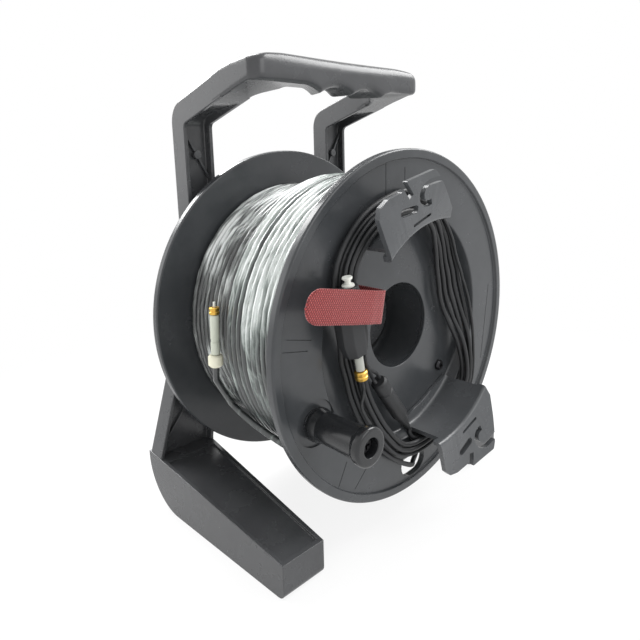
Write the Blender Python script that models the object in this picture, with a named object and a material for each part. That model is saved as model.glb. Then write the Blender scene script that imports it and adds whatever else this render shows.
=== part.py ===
"""Portable cable drum that turns on an axle cantilevered from a moulded carrying stand.

+Z is up and the drum turns about Y, with its crank side facing -Y. The origin is on the floor, under
the middle of the whole object. Every piece is drawn round the drum's axis: x to the right, a along the
axis from the front rim towards the stand, and z above the axis. Empties then carry the pieces to their
places, so that each moving piece hangs from an empty on its own joint's axis.
"""

import math

import bmesh
import bpy
import numpy as np
from mathutils import Matrix, Vector

MM = 0.001

# Clearances
GAP = 0.3 * MM
RUN_GAP = 0.3 * MM
EMBED = 0.8 * MM
TURN_GAP = 0.5 * MM
MERGE = 0.005 * MM

# Drum
FLANGE_R = 117.5 * MM
RIM_T = 6.0 * MM
RIM_W = 6.5 * MM
RIM_ROUND = 1.0 * MM
FACE_SINK = 2.0 * MM
WINDING_W = 115.8 * MM
BARREL_WALL = 3.0 * MM
DISH_DEPTH = 8.0 * MM
DISH_WALL = 3.0 * MM
DISH_FLARE = 2.0 * MM
SPIGOT_L = 7.0 * MM
HUB_BORE_R = 29.0 * MM
HUB_WALL = 3.0 * MM
WEB_T = 3.0 * MM
BOSS_R = 5.0 * MM
BOSS_IN = 16.0 * MM
BOSS_ANGLE = math.radians(-132)
SCREWS_PER_RING = 4
SCREW_R = 2.0 * MM
SCREW_HEAD_R = 3.8 * MM
SCREW_HEAD_H = 2.4 * MM
SCREW_L = 11.0 * MM
CABLE_HOLE_R = 100.5 * MM
CABLE_HOLE_ANGLE = math.radians(-86.5)
CABLE_HOLE_L = 26.0 * MM
CABLE_HOLE_W = 19.5 * MM

# Axle and bearings
AXLE_R = 24.0 * MM
AXLE_WALL = 4.0 * MM
AXLE_L = 84.0 * MM
AXLE_SHOULDER = 3.5 * MM
AXLE_PLATE_R = 40.0 * MM
AXLE_PLATE_T = 3.5 * MM
AXLE_SCREW_PITCH_R = 34.0 * MM
BUSH_L = 20.0 * MM
WASHER_T = 1.5 * MM
RING_T = 1.2 * MM
RING_DEPTH = 2.0 * MM
RING_STAND = 3.2 * MM
RING_INSET = 2.0 * MM
CAP_T = 2.0 * MM
CAP_SPIGOT = 5.0 * MM

# Stand
FLOOR_GAP = 19.5 * MM
STAND_GAP = 8.0 * MM
CHANNEL_DEPTH = 16.5 * MM
CHANNEL_WALL = 2.8 * MM
POST_IN = 56.0 * MM
POST_OUT = 79.0 * MM
LEG_TOP_Z = 20.0 * MM
LEG_IN = 70.5 * MM
FOOT_LEDGE = 0.8 * MM
FOOT_OUT = 116.0 * MM
FOOT_IN_FRONT = 84.0 * MM
FOOT_REACH = 0.0 * MM
FOOT_FRONT_H = 23.0 * MM
FOOT_REAR_H = 39.0 * MM
FOOT_BEAD = 3.0 * MM
FOOT_RECESS = 1.6 * MM
FOOT_SKIN = 3.2 * MM
HEEL_R = 36.0 * MM
TOE_R = 5.0 * MM
ARM_TILT = math.radians(19)
ELBOW_R = 16.0 * MM
ELBOW_IN_R = 4.0 * MM
RIB_T = 2.0 * MM
RIB_SINK = 3.5 * MM
RIB_BOSS_R = 3.4 * MM
HANDLE_A = 66.0 * MM
HANDLE_TOP_Z = 178.0 * MM
HANDLE_H = 17.5 * MM
HANDLE_BEND_R = 18.0 * MM
HANDLE_PROUD = 0.4 * MM
FINGER_PITCH = 24.6 * MM
FINGER_DEPTH = 4.0 * MM
CARRIER_H = 30.0 * MM
CARRIER_DISC_R = 46.0 * MM
CARRIER_POCKET_R = 28.0 * MM
CARRIER_WEB = 3.5 * MM
CARRIER_INSET = 0.4 * MM

# Crank
CRANK_IN = 1.7 * MM
CRANK_ANGLE = math.radians(-156)
CRANK_REACH = 41.0 * MM
CRANK_END_R = 11.4 * MM
CRANK_WAIST_R = 9.0 * MM
CRANK_BASE_R = 10.2 * MM
CRANK_RECESS_R = 5.6 * MM
CRANK_RECESS_L = 6.0 * MM
CUP_MARGIN = 1.0 * MM
CUP_DEPTH = 1.4 * MM
SPINDLE_R = 4.0 * MM
SPINDLE_COLLAR_R = 8.5 * MM
SPINDLE_COLLAR_T = 1.6 * MM

# Cable hooks
HOOK_ANGLE = math.radians(111)
HOOK_SET_BACK = 3.5 * MM
HOOK_T = 3.0 * MM
HOOK_SPAN_SHORT = math.radians(17)
HOOK_SPAN_LONG = math.radians(25)
HOOK_SPAN_UPPER = math.radians(6)
HOOK_STAND = 26.0 * MM
HOOK_PLATE_L = 31.0 * MM
HOOK_PLATE_RISE = 7.4 * MM
HOOK_TWIST = 0.27
HOOK_BASE_W = 8.0 * MM
HOOK_BASE_T = 2.4 * MM
HOOK_SLOT_W = 3.8 * MM
HOOK_CORNER = 6.0 * MM
HOOK_STEP = 4.8 * MM
HOOK_EDGE = 0.8 * MM
CURL_X = 11.0 * MM
CURL_IN = 13.8 * MM
CURL_R = 6.4 * MM
NOTCH_X = 3.4 * MM
NOTCH_L = 10.0 * MM
WINDOW_X = 6.0 * MM
WINDOW_IN = 18.0 * MM
WINDOW_L = 14.5 * MM
WINDOW_W = 5.0 * MM
SLIT_X = 4.3 * MM
SLIT_RISE = 2.6 * MM
SLIT_L = 17.0 * MM
SLIT_W = 1.8 * MM

# Wound cable and its end connector
CABLE_D = 4.3 * MM
CABLE_TURNS = 23
WINDING_R = 91.0 * MM
CORE_T = 6.7 * MM
LAYER_RISE = 8.0 * MM
LAYER_L = 63.0 * MM
LOOP_POINTS = 24
END_A = 77.0 * MM
END_ANGLE = math.radians(178)
END_SLEEVE_R = 3.1 * MM
END_SLEEVE_L = 26.0 * MM
END_COLLAR_R = 3.9 * MM
END_COLLAR_L = 6.0 * MM
END_NUT_R = 4.8 * MM
END_NUT_L = 8.0 * MM
END_LIFT = 4.8 * MM

# Stored lead on the front face
LEAD_D = 3.4 * MM
LEAD_TURNS = 5
LEAD_HEIGHT = 2.2 * MM
LEAD_CLEAR = 1.6 * MM
LEAD_LEFT_IN = 30.8 * MM
LEAD_RIGHT_IN = 42.8 * MM
LEAD_SPREAD = 6.2 * MM
LEAD_FLOOR = 4.3 * MM
TAIL_D = 2.2 * MM
TAIL_RISE = 7.4 * MM
FAN_OUT_R = 5.4 * MM
FAN_OUT_L = 37.0 * MM
FAN_OUT_BOOT_L = 14.0 * MM
FAN_OUT_IN = 6.7 * MM
FAN_OUT_ANGLE = math.radians(219.4)
FAN_OUT_AIM = math.radians(-54)
HOUSING_OUT = 3.0 * MM
HOUSING_ANGLE = math.radians(149.4)
HOUSING_AIM = math.radians(-79.9)
HOUSING_L = 41.5 * MM
HOUSING_W = 20.0 * MM
HOUSING_H = 9.0 * MM
HOUSING_HEIGHT = 12.4 * MM
CONNECTOR_TUBE_R = 2.6 * MM
CONNECTOR_TUBE_L = 10.0 * MM
CONNECTOR_COLLAR_R = 4.0 * MM
CONNECTOR_COLLAR_L = 5.5 * MM
CONNECTOR_TIP_R = 3.6 * MM
CONNECTOR_TIP_L = 6.0 * MM
STRAP_ANGLE = math.radians(168.3)
STRAP_W = 19.4 * MM
STRAP_T = 1.2 * MM
STRAP_RISE = 17.0 * MM
STRAP_REACH_IN = 28.6 * MM
STRAP_REACH_OUT = 22.9 * MM

# Facets
ROUND_STEPS = 40
HUB_STEPS = 20
HOOK_STEPS = 10
SMALL_STEPS = 12
SCREW_STEPS = 8
ARC_STEPS = 5

# Places that follow from the sizes above
AXIS_Z = FLOOR_GAP + FLANGE_R
DISH_A = FACE_SINK + DISH_DEPTH
DISH_BACK_A = DISH_A + DISH_WALL
REAR_A = RIM_T + WINDING_W
REAR_BACK_A = REAR_A + RIM_T - FACE_SINK
STAND_A = REAR_A + RIM_T + STAND_GAP
STAND_BACK_A = STAND_A + CHANNEL_DEPTH
FRONT_Y = (CRANK_REACH - STAND_BACK_A) / 2
BARREL_R = WINDING_R - CORE_T
SPIGOT_R = BARREL_R - BARREL_WALL - GAP
DISH_R = SPIGOT_R - DISH_WALL
BOSS_PITCH_R = DISH_R - BOSS_IN
BAND_IN_R = DISH_R + DISH_FLARE
BAND_OUT_R = FLANGE_R - RIM_W
CRANK_PITCH_R = (BAND_IN_R + BAND_OUT_R) / 2 - CRANK_IN
CUP_R = (BAND_OUT_R - BAND_IN_R) / 2 - CUP_MARGIN
AXLE_PLATE_A = STAND_A - GAP - AXLE_PLATE_T
THRUST_A = REAR_BACK_A
AXLE_END_A = THRUST_A - AXLE_L + WASHER_T
FLOOR_Z = -AXIS_Z
SHAFT_HOLE_R = SCREW_R + GAP
HOOK_WALL_R = DISH_R - HOOK_SET_BACK
HOOK_BACK_R = HOOK_WALL_R + HOOK_T
CRANK_X = CRANK_PITCH_R * math.cos(CRANK_ANGLE)
CRANK_Z = CRANK_PITCH_R * math.sin(CRANK_ANGLE)
LEAD_R = HOOK_BACK_R + LEAD_D / 2 + LEAD_CLEAR
LEAD_LEFT_R = LEAD_R - LEAD_LEFT_IN
LEAD_RIGHT_R = LEAD_R - LEAD_RIGHT_IN
LEAD_PITCH = LEAD_D + TURN_GAP
LEAD_A = FACE_SINK - LEAD_HEIGHT - LEAD_D / 2 - GAP
LEAD_SAG = DISH_A - LEAD_FLOOR - LEAD_D / 2 - LEAD_A


def polar(radius, angle):
    return radius * math.cos(angle), radius * math.sin(angle)


FAN_OUT_TOP = polar(LEAD_LEFT_R - FAN_OUT_IN, FAN_OUT_ANGLE)
HOUSING_TOP = polar(LEAD_R + HOUSING_OUT, HOUSING_ANGLE)


# Scene and finishes
def clear_scene():
    for old in list(bpy.data.objects):
        bpy.data.objects.remove(old)


def finish(name, colour, roughness, metallic=0.0):
    material = bpy.data.materials.new(name)
    material.use_nodes = True
    shader = material.node_tree.nodes["Principled BSDF"]
    shader.inputs["Base Color"].default_value = (*colour, 1.0)
    shader.inputs["Roughness"].default_value = roughness
    shader.inputs["Metallic"].default_value = metallic
    return material


def empty(name, place, parent=None):
    holder = bpy.data.objects.new(name, None)
    holder.location = place
    holder.parent = parent
    bpy.context.collection.objects.link(holder)
    return holder


# Solids
def solid(name, bm):
    """Turn a bmesh into an object with merged points and outward faces."""
    bmesh.ops.remove_doubles(bm, verts=bm.verts, dist=MERGE)
    bmesh.ops.recalc_face_normals(bm, faces=bm.faces)
    mesh = bpy.data.meshes.new(name)
    bm.to_mesh(mesh)
    bm.free()
    shape = bpy.data.objects.new(name, mesh)
    bpy.context.collection.objects.link(shape)
    return shape


def lathe(name, profile, steps, through_axis=False, arc=math.tau, start=0.0):
    """Turn a profile of (radius, a) points about the drum's axis, from an angle and through an arc."""
    bm = bmesh.new()
    points = [bm.verts.new((radius, along, 0)) for radius, along in profile]
    pairs = list(zip(points, points[1:]))
    if not through_axis:
        pairs.append((points[-1], points[0]))
    edges = [bm.edges.new(pair) for pair in pairs]
    whole = math.isclose(arc, math.tau)
    if not whole:
        bm.faces.new(points)
    geometry = points + edges + list(bm.faces)
    turn = Matrix.Rotation(-start, 3, "Y")
    bmesh.ops.rotate(bm, verts=points, matrix=turn)
    bmesh.ops.spin(bm, geom=geometry, axis=(0, -1, 0), cent=(0, 0, 0), angle=arc, steps=steps)
    if not whole:
        bmesh.ops.holes_fill(bm, edges=[edge for edge in bm.edges if edge.is_boundary])
    return solid(name, bm)


def prism(name, outline, low_a, high_a):
    """Extrude an outline of (x, z) points along the drum's axis."""
    bm = bmesh.new()
    face = bm.faces.new([bm.verts.new((x, low_a, z)) for x, z in outline])
    grown = bmesh.ops.extrude_face_region(bm, geom=[face])
    moved = [item for item in grown["geom"] if isinstance(item, bmesh.types.BMVert)]
    bmesh.ops.translate(bm, verts=moved, vec=(0, high_a - low_a, 0))
    return solid(name, bm)


def loft(name, rings):
    """Skin a list of rings with equal point counts, and close both ends."""
    bm = bmesh.new()
    loops = [[bm.verts.new(point) for point in ring] for ring in rings]
    count = len(loops[0])
    for near, far in zip(loops, loops[1:]):
        for i in range(count):
            j = (i + 1) % count
            bm.faces.new((near[i], near[j], far[j], far[i]))
    bm.faces.new(loops[0])
    bm.faces.new(loops[-1])
    bm.normal_update()
    bmesh.ops.triangulate(bm, faces=bm.faces)
    return solid(name, bm)


def combine(target, tool, operation):
    """Apply one Boolean to the target and remove the tool."""
    modifier = target.modifiers.new(operation.lower(), "BOOLEAN")
    modifier.operation = operation
    modifier.solver = "EXACT"
    modifier.object = tool
    graph = bpy.context.evaluated_depsgraph_get()
    mesh = bpy.data.meshes.new_from_object(target.evaluated_get(graph))
    bm = bmesh.new()
    bm.from_mesh(mesh)
    bmesh.ops.remove_doubles(bm, verts=bm.verts, dist=MERGE)
    bmesh.ops.dissolve_degenerate(bm, edges=bm.edges, dist=MERGE)
    bm.to_mesh(mesh)
    bm.free()
    target.modifiers.clear()
    target.data = mesh
    bpy.data.objects.remove(tool)


def unite(target, *tools):
    for tool in tools:
        combine(target, tool, "UNION")


def cut(target, *tools):
    for tool in tools:
        combine(target, tool, "DIFFERENCE")


def place(shape, material, parent, smooth_angle=35):
    """Give a finished piece its material, its soft shading and its carrier."""
    shape.data.materials.clear()
    shape.data.materials.append(material)
    if shape.type == "MESH":
        shape.data.shade_smooth()
        shape.data.set_sharp_from_angle(angle=math.radians(smooth_angle))
    shape.parent = parent
    return shape


# Outlines
def arc_points(centre, radius, start, end, steps):
    swing = [start + (end - start) * i / steps for i in range(steps + 1)]
    return [(centre[0] + radius * math.cos(t), centre[1] + radius * math.sin(t)) for t in swing]


def circle(centre, radius, steps):
    return arc_points(centre, radius, 0, math.tau, steps)[:-1]


def capsule(centre, length, width, angle, steps):
    """Outline of a slot with round ends, turned to an angle."""
    half = (length - width) / 2
    right = arc_points((half, 0), width / 2, -math.pi / 2, math.pi / 2, steps)
    left = arc_points((-half, 0), width / 2, math.pi / 2, math.pi * 3 / 2, steps)
    c, s = math.cos(angle), math.sin(angle)
    return [(centre[0] + c * x - s * z, centre[1] + s * x + c * z) for x, z in right + left]


def rounded_stroke(points, width):
    """Outline of a line of even width through the points, with square ends."""
    sides = ([], [])
    for i, point in enumerate(points):
        before = points[max(i - 1, 0)]
        after = points[min(i + 1, len(points) - 1)]
        run = Vector((after[0] - before[0], after[1] - before[1])).normalized() * width / 2
        sides[0].append((point[0] - run.y, point[1] + run.x))
        sides[1].append((point[0] + run.y, point[1] - run.x))
    return sides[0] + sides[1][::-1]


def smooth_step(t):
    t = min(max(t, 0.0), 1.0)
    return t * t * (3 - 2 * t)


# Cords
def smooth_route(points, steps):
    """Points of a smooth curve through the given ones."""
    ends = [2 * points[0] - points[1], *points, 2 * points[-1] - points[-2]]
    route = []
    for p, q, r, s in zip(ends, ends[1:], ends[2:], ends[3:]):
        for i in range(steps):
            t = i / steps
            bend = (2 * p - 5 * q + 4 * r - s) * t * t + (3 * q - p - 3 * r + s) * t ** 3
            route.append((2 * q + (r - p) * t + bend) / 2)
    return route + [points[-1]]


def tube(name, route, diameter, roundness):
    curve = bpy.data.curves.new(name, "CURVE")
    curve.dimensions = "3D"
    curve.bevel_depth = diameter / 2
    curve.bevel_resolution = roundness
    curve.render_resolution_u = 0
    curve.use_fill_caps = True
    spline = curve.splines.new("POLY")
    spline.points.add(len(route) - 1)
    for point, target in zip(spline.points, route):
        point.co = (*target, 1.0)
    cord = bpy.data.objects.new(name, curve)
    bpy.context.collection.objects.link(cord)
    return cord


def least_gap(route, diameter):
    """Smallest free space between parts of a cord that are over four diameters apart along it."""
    fine = []
    for near, far in zip(route, route[1:]):
        fine += [near.lerp(far, t / 4) for t in range(4)]
    places = np.array([tuple(point) for point in fine])
    along = np.concatenate(([0.0], np.cumsum(np.linalg.norm(np.diff(places, axis=0), axis=1))))
    least = math.inf
    for i, point in enumerate(places):
        later = along - along[i] > 4 * diameter
        if later.any():
            least = min(least, np.linalg.norm(places[later] - point, axis=1).min())
    return least - diameter


# Stand
def arm_top_z(along):
    return HANDLE_TOP_Z - math.tan(ARM_TILT) * (along - HANDLE_A)


def leg_edges(z):
    """Inner and outer x of a post or leg at a height: straight above, flared below."""
    knee_z = FLOOR_Z + FOOT_REAR_H
    flare = min(max((LEG_TOP_Z - z) / (LEG_TOP_Z - knee_z), 0.0), 1.0)
    spread_in, spread_out = LEG_IN + FOOT_LEDGE - POST_IN, FOOT_OUT - FOOT_LEDGE - POST_OUT
    return POST_IN + spread_in * flare, POST_OUT + spread_out * flare


def channel_ring(side, back, front, z_for_width, wall):
    """U section of the stand: its web lies at the back point and its open side at the front point."""
    inner, outer = leg_edges(z_for_width)
    back, front = Vector(back), Vector(front)
    web = back + (front - back).normalized() * wall
    flat = [(outer, back), (inner, back), (inner, front), (inner + wall, front)]
    flat += [(inner + wall, web), (outer - wall, web), (outer - wall, front), (outer, front)]
    return [(side * x, point.x, point.y) for x, point in flat]


def channel_stations():
    """Back and front points of the channel from the handle's bend down to the foot."""
    across = Vector((-math.sin(ARM_TILT), -math.cos(ARM_TILT))) * CHANNEL_DEPTH
    arm_a = HANDLE_A + HANDLE_BEND_R
    arm_back = Vector((arm_a, arm_top_z(arm_a)))
    stations = [(arm_back, arm_back + across)]
    corner = Vector((STAND_BACK_A, arm_top_z(STAND_BACK_A)))
    inner_corner_z = arm_top_z(STAND_A) - CHANNEL_DEPTH / math.cos(ARM_TILT)
    inner_corner = Vector((STAND_A, inner_corner_z))
    half_turn = (math.pi / 2 - ARM_TILT) / 2
    for i in range(ARC_STEPS + 1):
        swing = math.pi / 2 - ARM_TILT - 2 * half_turn * i / ARC_STEPS
        rounded = []
        for tip, radius in ((corner, ELBOW_R), (inner_corner, ELBOW_IN_R)):
            set_back = radius * math.tan(half_turn)
            centre = Vector((tip.x - radius, tip.y - set_back))
            rounded.append(centre + radius * Vector((math.cos(swing), math.sin(swing))))
        stations.append(tuple(rounded))
    knee_z = FLOOR_Z + FOOT_REAR_H
    for z, ledge in ((LEG_TOP_Z, 0), (knee_z, FOOT_LEDGE), (knee_z - FOOT_BEAD, FOOT_LEDGE)):
        stations.append((Vector((STAND_BACK_A - ledge, z)), Vector((STAND_A, z))))
    return stations


def channel(side):
    rings = [channel_ring(side, back, front, back.y, CHANNEL_WALL) for back, front in channel_stations()]
    return loft("channel", rings)


def foot_top_z(along):
    rise = (FOOT_REAR_H - FOOT_FRONT_H) / (STAND_BACK_A - FOOT_REACH)
    return FLOOR_Z + FOOT_FRONT_H + rise * (along - FOOT_REACH)


def foot_in(along):
    return FOOT_IN_FRONT + (LEG_IN - FOOT_IN_FRONT) * (along - FOOT_REACH) / (STAND_BACK_A - FOOT_REACH)


def foot_slab(name, side, low_a, high_a, margin, depth, rise):
    """Block inside a foot's plan, from a depth under its sloping top to a rise over it."""
    rings = []
    for along in (low_a, high_a):
        inner, outer = foot_in(along) + margin, FOOT_OUT - margin
        top = foot_top_z(along) + rise
        bottom = foot_top_z(along) - depth
        rings.append([(side * x, along, z) for x, z in
                      ((inner, bottom), (outer, bottom), (outer, top), (inner, top))])
    return loft(name, rings)


def foot(side):
    heel = arc_points((STAND_BACK_A - HEEL_R, FLOOR_Z + HEEL_R), HEEL_R, 0, -math.pi / 2, ARC_STEPS)
    toe = arc_points((FOOT_REACH + TOE_R, FLOOR_Z + TOE_R), TOE_R, -math.pi / 2, -math.pi, 3)
    outline = [(STAND_BACK_A, foot_top_z(STAND_BACK_A)), *heel, *toe, (FOOT_REACH, foot_top_z(FOOT_REACH))]
    rings = []
    for edge in (foot_in, lambda along: FOOT_OUT):
        rings.append([(side * edge(along), along, z) for along, z in outline])
    body = loft("foot", rings)
    recess_end = STAND_A - 2 * FOOT_BEAD
    recess_start = FOOT_REACH + FOOT_BEAD
    cut(body, foot_slab("recess", side, recess_start, recess_end, FOOT_BEAD, FOOT_RECESS, FOOT_RECESS))
    ceiling = -FOOT_RECESS - FOOT_SKIN
    bay_start = FOOT_REACH + TOE_R + FOOT_SKIN
    bay_end = STAND_BACK_A - HEEL_R - FOOT_SKIN
    bay_l = (bay_end - bay_start - FOOT_SKIN) / 2
    for low_a in (bay_start, bay_start + bay_l + FOOT_SKIN):
        bay = foot_slab("bay", side, low_a, low_a + bay_l, FOOT_SKIN, 2 * FOOT_REAR_H, ceiling)
        cut(body, bay)
    return body


def rib(side, top, bottom):
    """Thin diagonal web across a channel, with a round boss at its middle."""
    front, back = STAND_A + RIB_SINK, STAND_BACK_A - CHANNEL_WALL + EMBED
    run = [(side * top[0], top[1]), (side * bottom[0], bottom[1])]
    middle = ((run[0][0] + run[1][0]) / 2, (run[0][1] + run[1][1]) / 2)
    web = prism("rib", rounded_stroke(run, RIB_T), front, back)
    boss = prism("rib_boss", circle(middle, RIB_BOSS_R, SCREW_STEPS), front - RIB_T / 2, back)
    unite(web, boss)
    return web


def rib_ends(z, outside):
    inner, outer = leg_edges(z)
    return (outer - CHANNEL_WALL + EMBED if outside else inner + CHANNEL_WALL - EMBED), z


def ribs(side):
    top_z = arm_top_z(STAND_BACK_A) - ELBOW_R
    span = (top_z - LEG_TOP_Z) / 3
    post = []
    for i in range(3):
        start, end = top_z - i * span, top_z - (i + 1) * span + RIB_T * 2
        post.append(rib(side, rib_ends(start, i % 2 == 0), rib_ends(end, i % 2 == 1)))
    leg_top, leg_low = LEG_TOP_Z - CARRIER_H * 1.9, FLOOR_Z + FOOT_REAR_H + RIB_T * 3
    falling = rib(side, rib_ends(leg_top, True), rib_ends(leg_low, False))
    rising = rib(side, rib_ends(leg_top, False), rib_ends(leg_low, True))
    unite(falling, rising)
    return [*post, falling]


def handle_path():
    """Stations of the handle: middle (x, a), direction across the grip, and how far along the grip."""
    post_x = (POST_IN + POST_OUT) / 2
    bend_a = HANDLE_A + HANDLE_BEND_R
    bend_x = post_x - HANDLE_BEND_R
    arm = [(-post_x, bend_a + EMBED * 4, math.pi, 0.0)]
    bend = []
    for i in range(ARC_STEPS + 1):
        t = math.pi + math.pi / 2 * i / ARC_STEPS
        bend.append((-bend_x + HANDLE_BEND_R * math.cos(t), bend_a + HANDLE_BEND_R * math.sin(t), t, 0.0))
    steps = 6 * round(bend_x / FINGER_PITCH)
    grip = []
    for i in range(1, steps):
        x = -bend_x + 2 * bend_x * i / steps
        grip.append((x, HANDLE_A, math.pi * 3 / 2, 1.0))
    left = arm + bend
    right = [(-x, along, math.pi * 3 - t, weight) for x, along, t, weight in left[::-1]]
    return left + grip + right


def handle():
    width = POST_OUT - POST_IN
    rings = []
    for x, along, facing, weight in handle_path():
        top = arm_top_z(along) + HANDLE_PROUD
        wave = FINGER_DEPTH * (1 - abs(math.cos(math.pi * x / FINGER_PITCH))) * weight
        low = top - HANDLE_H
        half, shoulder = width / 2 + HANDLE_PROUD, width / 3.2
        section = [(half, low + HANDLE_H * 0.3), (half, top - HANDLE_H * 0.3), (shoulder, top - MM * 0.8)]
        section += [(0, top), (-shoulder, top - MM * 0.8), (-half, top - HANDLE_H * 0.3)]
        section += [(-half, low + HANDLE_H * 0.3), (-shoulder, low - wave), (shoulder, low - wave)]
        out = Vector((math.cos(facing), math.sin(facing)))
        rings.append([(x + out.x * reach, along + out.y * reach, z) for reach, z in section])
    return loft("handle", rings)


def carrier():
    """Cross-member between the posts, with the hub disc that the axle is bolted to."""
    back = STAND_BACK_A - CARRIER_INSET
    top_x = leg_edges(CARRIER_H)[0] + CHANNEL_WALL / 2
    low_x = leg_edges(-CARRIER_H)[0] + CHANNEL_WALL / 2
    outline = [(-top_x, CARRIER_H), (top_x, CARRIER_H), (low_x, -CARRIER_H), (-low_x, -CARRIER_H)]
    beam = prism("beam", outline, STAND_A + RIB_SINK, back)
    for sign in (-1, 1):
        inner_edge, pocket_h = CARRIER_DISC_R - CHANNEL_WALL, CARRIER_H - CHANNEL_WALL
        pocket = [(inner_edge, pocket_h), (top_x - CHANNEL_WALL, pocket_h), (low_x - CHANNEL_WALL, -pocket_h),
                  (inner_edge, -pocket_h)]
        sided = [(sign * x, z) for x, z in pocket]
        cut(beam, prism("pocket", sided, STAND_A - EMBED, back - CARRIER_WEB))
    disc_back = STAND_BACK_A - CARRIER_INSET / 2
    profile = [(0, disc_back), (CARRIER_DISC_R, disc_back), (CARRIER_DISC_R, STAND_A),
               (CARRIER_POCKET_R, STAND_A), (CARRIER_POCKET_R, back - CARRIER_WEB), (0, back - CARRIER_WEB)]
    disc = lathe("disc", profile, HUB_STEPS, through_axis=True)
    unite(beam, disc)
    for x, z in axle_screw_places():
        cut(beam, prism("hole", circle((x, z), SHAFT_HOLE_R, SCREW_STEPS), STAND_A - EMBED, STAND_A + SCREW_L))
    return beam


def stand_frame(material, parent):
    frame = handle()
    for side in (-1, 1):
        leg = channel(side)
        unite(leg, foot(side))
        unite(leg, *ribs(side))
        unite(frame, leg)
    unite(frame, carrier())
    frame.name = "stand_frame"
    return place(frame, material, parent, 30)


# Fasteners
def ring_places(pitch_r, count, first):
    return [polar(pitch_r, first + math.tau * i / count) for i in range(count)]


def axle_screw_places():
    return ring_places(AXLE_SCREW_PITCH_R, SCREWS_PER_RING, math.pi / 4)


def screw(name, centre, seat_a, direction, material, parent):
    """Pan-head screw whose head rests on a face at seat_a and whose shank runs in the direction given."""
    under = seat_a - direction * GAP
    top = under - direction * SCREW_HEAD_H
    tip = seat_a + direction * SCREW_L * 0.8
    profile = [(0, top), (SCREW_HEAD_R * 0.8, top), (SCREW_HEAD_R, under), (SCREW_R, under), (SCREW_R, tip),
               (0, tip)]
    shape = lathe(name, profile, SCREW_STEPS, through_axis=True)
    shape.data.transform(Matrix.Translation((centre[0], 0, centre[1])))
    return place(shape, material, parent)


# Axle and bearings
def ring_a():
    return AXLE_END_A + RING_INSET


def axle_tube(material, parent):
    groove = ring_a()
    groove_end = groove + RING_T + 2 * GAP
    bore, groove_r, shoulder_r = AXLE_R - AXLE_WALL, AXLE_R - RING_DEPTH, AXLE_R + AXLE_SHOULDER
    shoulder_a = THRUST_A + WASHER_T + GAP
    plate_end = AXLE_PLATE_A + AXLE_PLATE_T
    profile = [(bore, AXLE_END_A), (AXLE_R, AXLE_END_A), (AXLE_R, groove), (groove_r, groove),
               (groove_r, groove_end), (AXLE_R, groove_end), (AXLE_R, shoulder_a), (shoulder_r, shoulder_a),
               (shoulder_r, AXLE_PLATE_A), (AXLE_PLATE_R, AXLE_PLATE_A), (AXLE_PLATE_R, plate_end),
               (bore, plate_end)]
    axle = lathe("axle_tube", profile, HUB_STEPS)
    for x, z in axle_screw_places():
        hole = circle((x, z), SHAFT_HOLE_R, SCREW_STEPS)
        cut(axle, prism("hole", hole, AXLE_PLATE_A - EMBED, plate_end + EMBED))
    return place(axle, material, parent)


def ring(name, inner, outer, low_a, high_a, steps, material, parent):
    profile = [(inner, low_a), (outer, low_a), (outer, high_a), (inner, high_a)]
    return place(lathe(name, profile, steps), material, parent)


def bearings(bush, steel, black, drum, stand):
    inner, outer = AXLE_R + RUN_GAP, HUB_BORE_R - GAP
    front_a = ring_a() + RING_T + 3 * GAP
    ring("bush_front", inner, outer, front_a, front_a + BUSH_L, HUB_STEPS, bush, drum)
    rear_end = THRUST_A - GAP
    ring("bush_rear", inner, outer, rear_end - BUSH_L, rear_end, HUB_STEPS, bush, drum)
    ring("thrust_washer", inner, outer - GAP, THRUST_A, THRUST_A + WASHER_T, HUB_STEPS, steel, stand)
    groove_r = AXLE_R - RING_DEPTH + GAP
    ring("retaining_ring", groove_r, AXLE_R + RING_STAND, ring_a() + GAP, ring_a() + GAP + RING_T,
         HUB_STEPS, steel, stand)
    bore = AXLE_R - AXLE_WALL - GAP
    seat = AXLE_END_A - GAP
    profile = [(0, seat - CAP_T), (AXLE_R - GAP, seat - CAP_T), (AXLE_R - GAP, seat), (bore, seat),
               (bore, seat + CAP_SPIGOT), (0, seat + CAP_SPIGOT)]
    place(lathe("axle_cap", profile, HUB_STEPS, through_axis=True), black, stand)


# Drum
def boss_places():
    return ring_places(BOSS_PITCH_R, SCREWS_PER_RING, BOSS_ANGLE)


def drum_core(material, parent):
    low, high = RIM_T + GAP, REAR_A - GAP
    hub_low = DISH_BACK_A + GAP
    barrel = [(BARREL_R - BARREL_WALL, low), (BARREL_R, low), (BARREL_R, high), (BARREL_R - BARREL_WALL, high)]
    core = lathe("drum_core", barrel, ROUND_STEPS)
    hub_r = HUB_BORE_R + HUB_WALL
    hub = [(HUB_BORE_R, hub_low), (hub_r, hub_low), (hub_r, high), (HUB_BORE_R, high)]
    inside = lathe("hub", hub, HUB_STEPS)
    web_low, web_high = hub_low + EMBED, REAR_A - SPIGOT_L - EMBED
    for x, z in boss_places():
        aim = Vector((x, z)).normalized()
        run = [aim * (hub_r - HUB_WALL / 2), aim * (BARREL_R - BARREL_WALL / 2)]
        web = prism("web", rounded_stroke([(p.x, p.y) for p in run], WEB_T), web_low, web_high)
        boss = prism("boss", circle((x, z), BOSS_R, SMALL_STEPS), hub_low, high)
        unite(web, boss)
        unite(inside, web)
    unite(core, inside)
    for x, z in boss_places():
        for start, end in ((hub_low - EMBED, hub_low + SCREW_L), (high - SCREW_L, high + EMBED)):
            cut(core, prism("hole", circle((x, z), SHAFT_HOLE_R, SCREW_STEPS), start, end))
    return place(core, material, parent)


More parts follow.
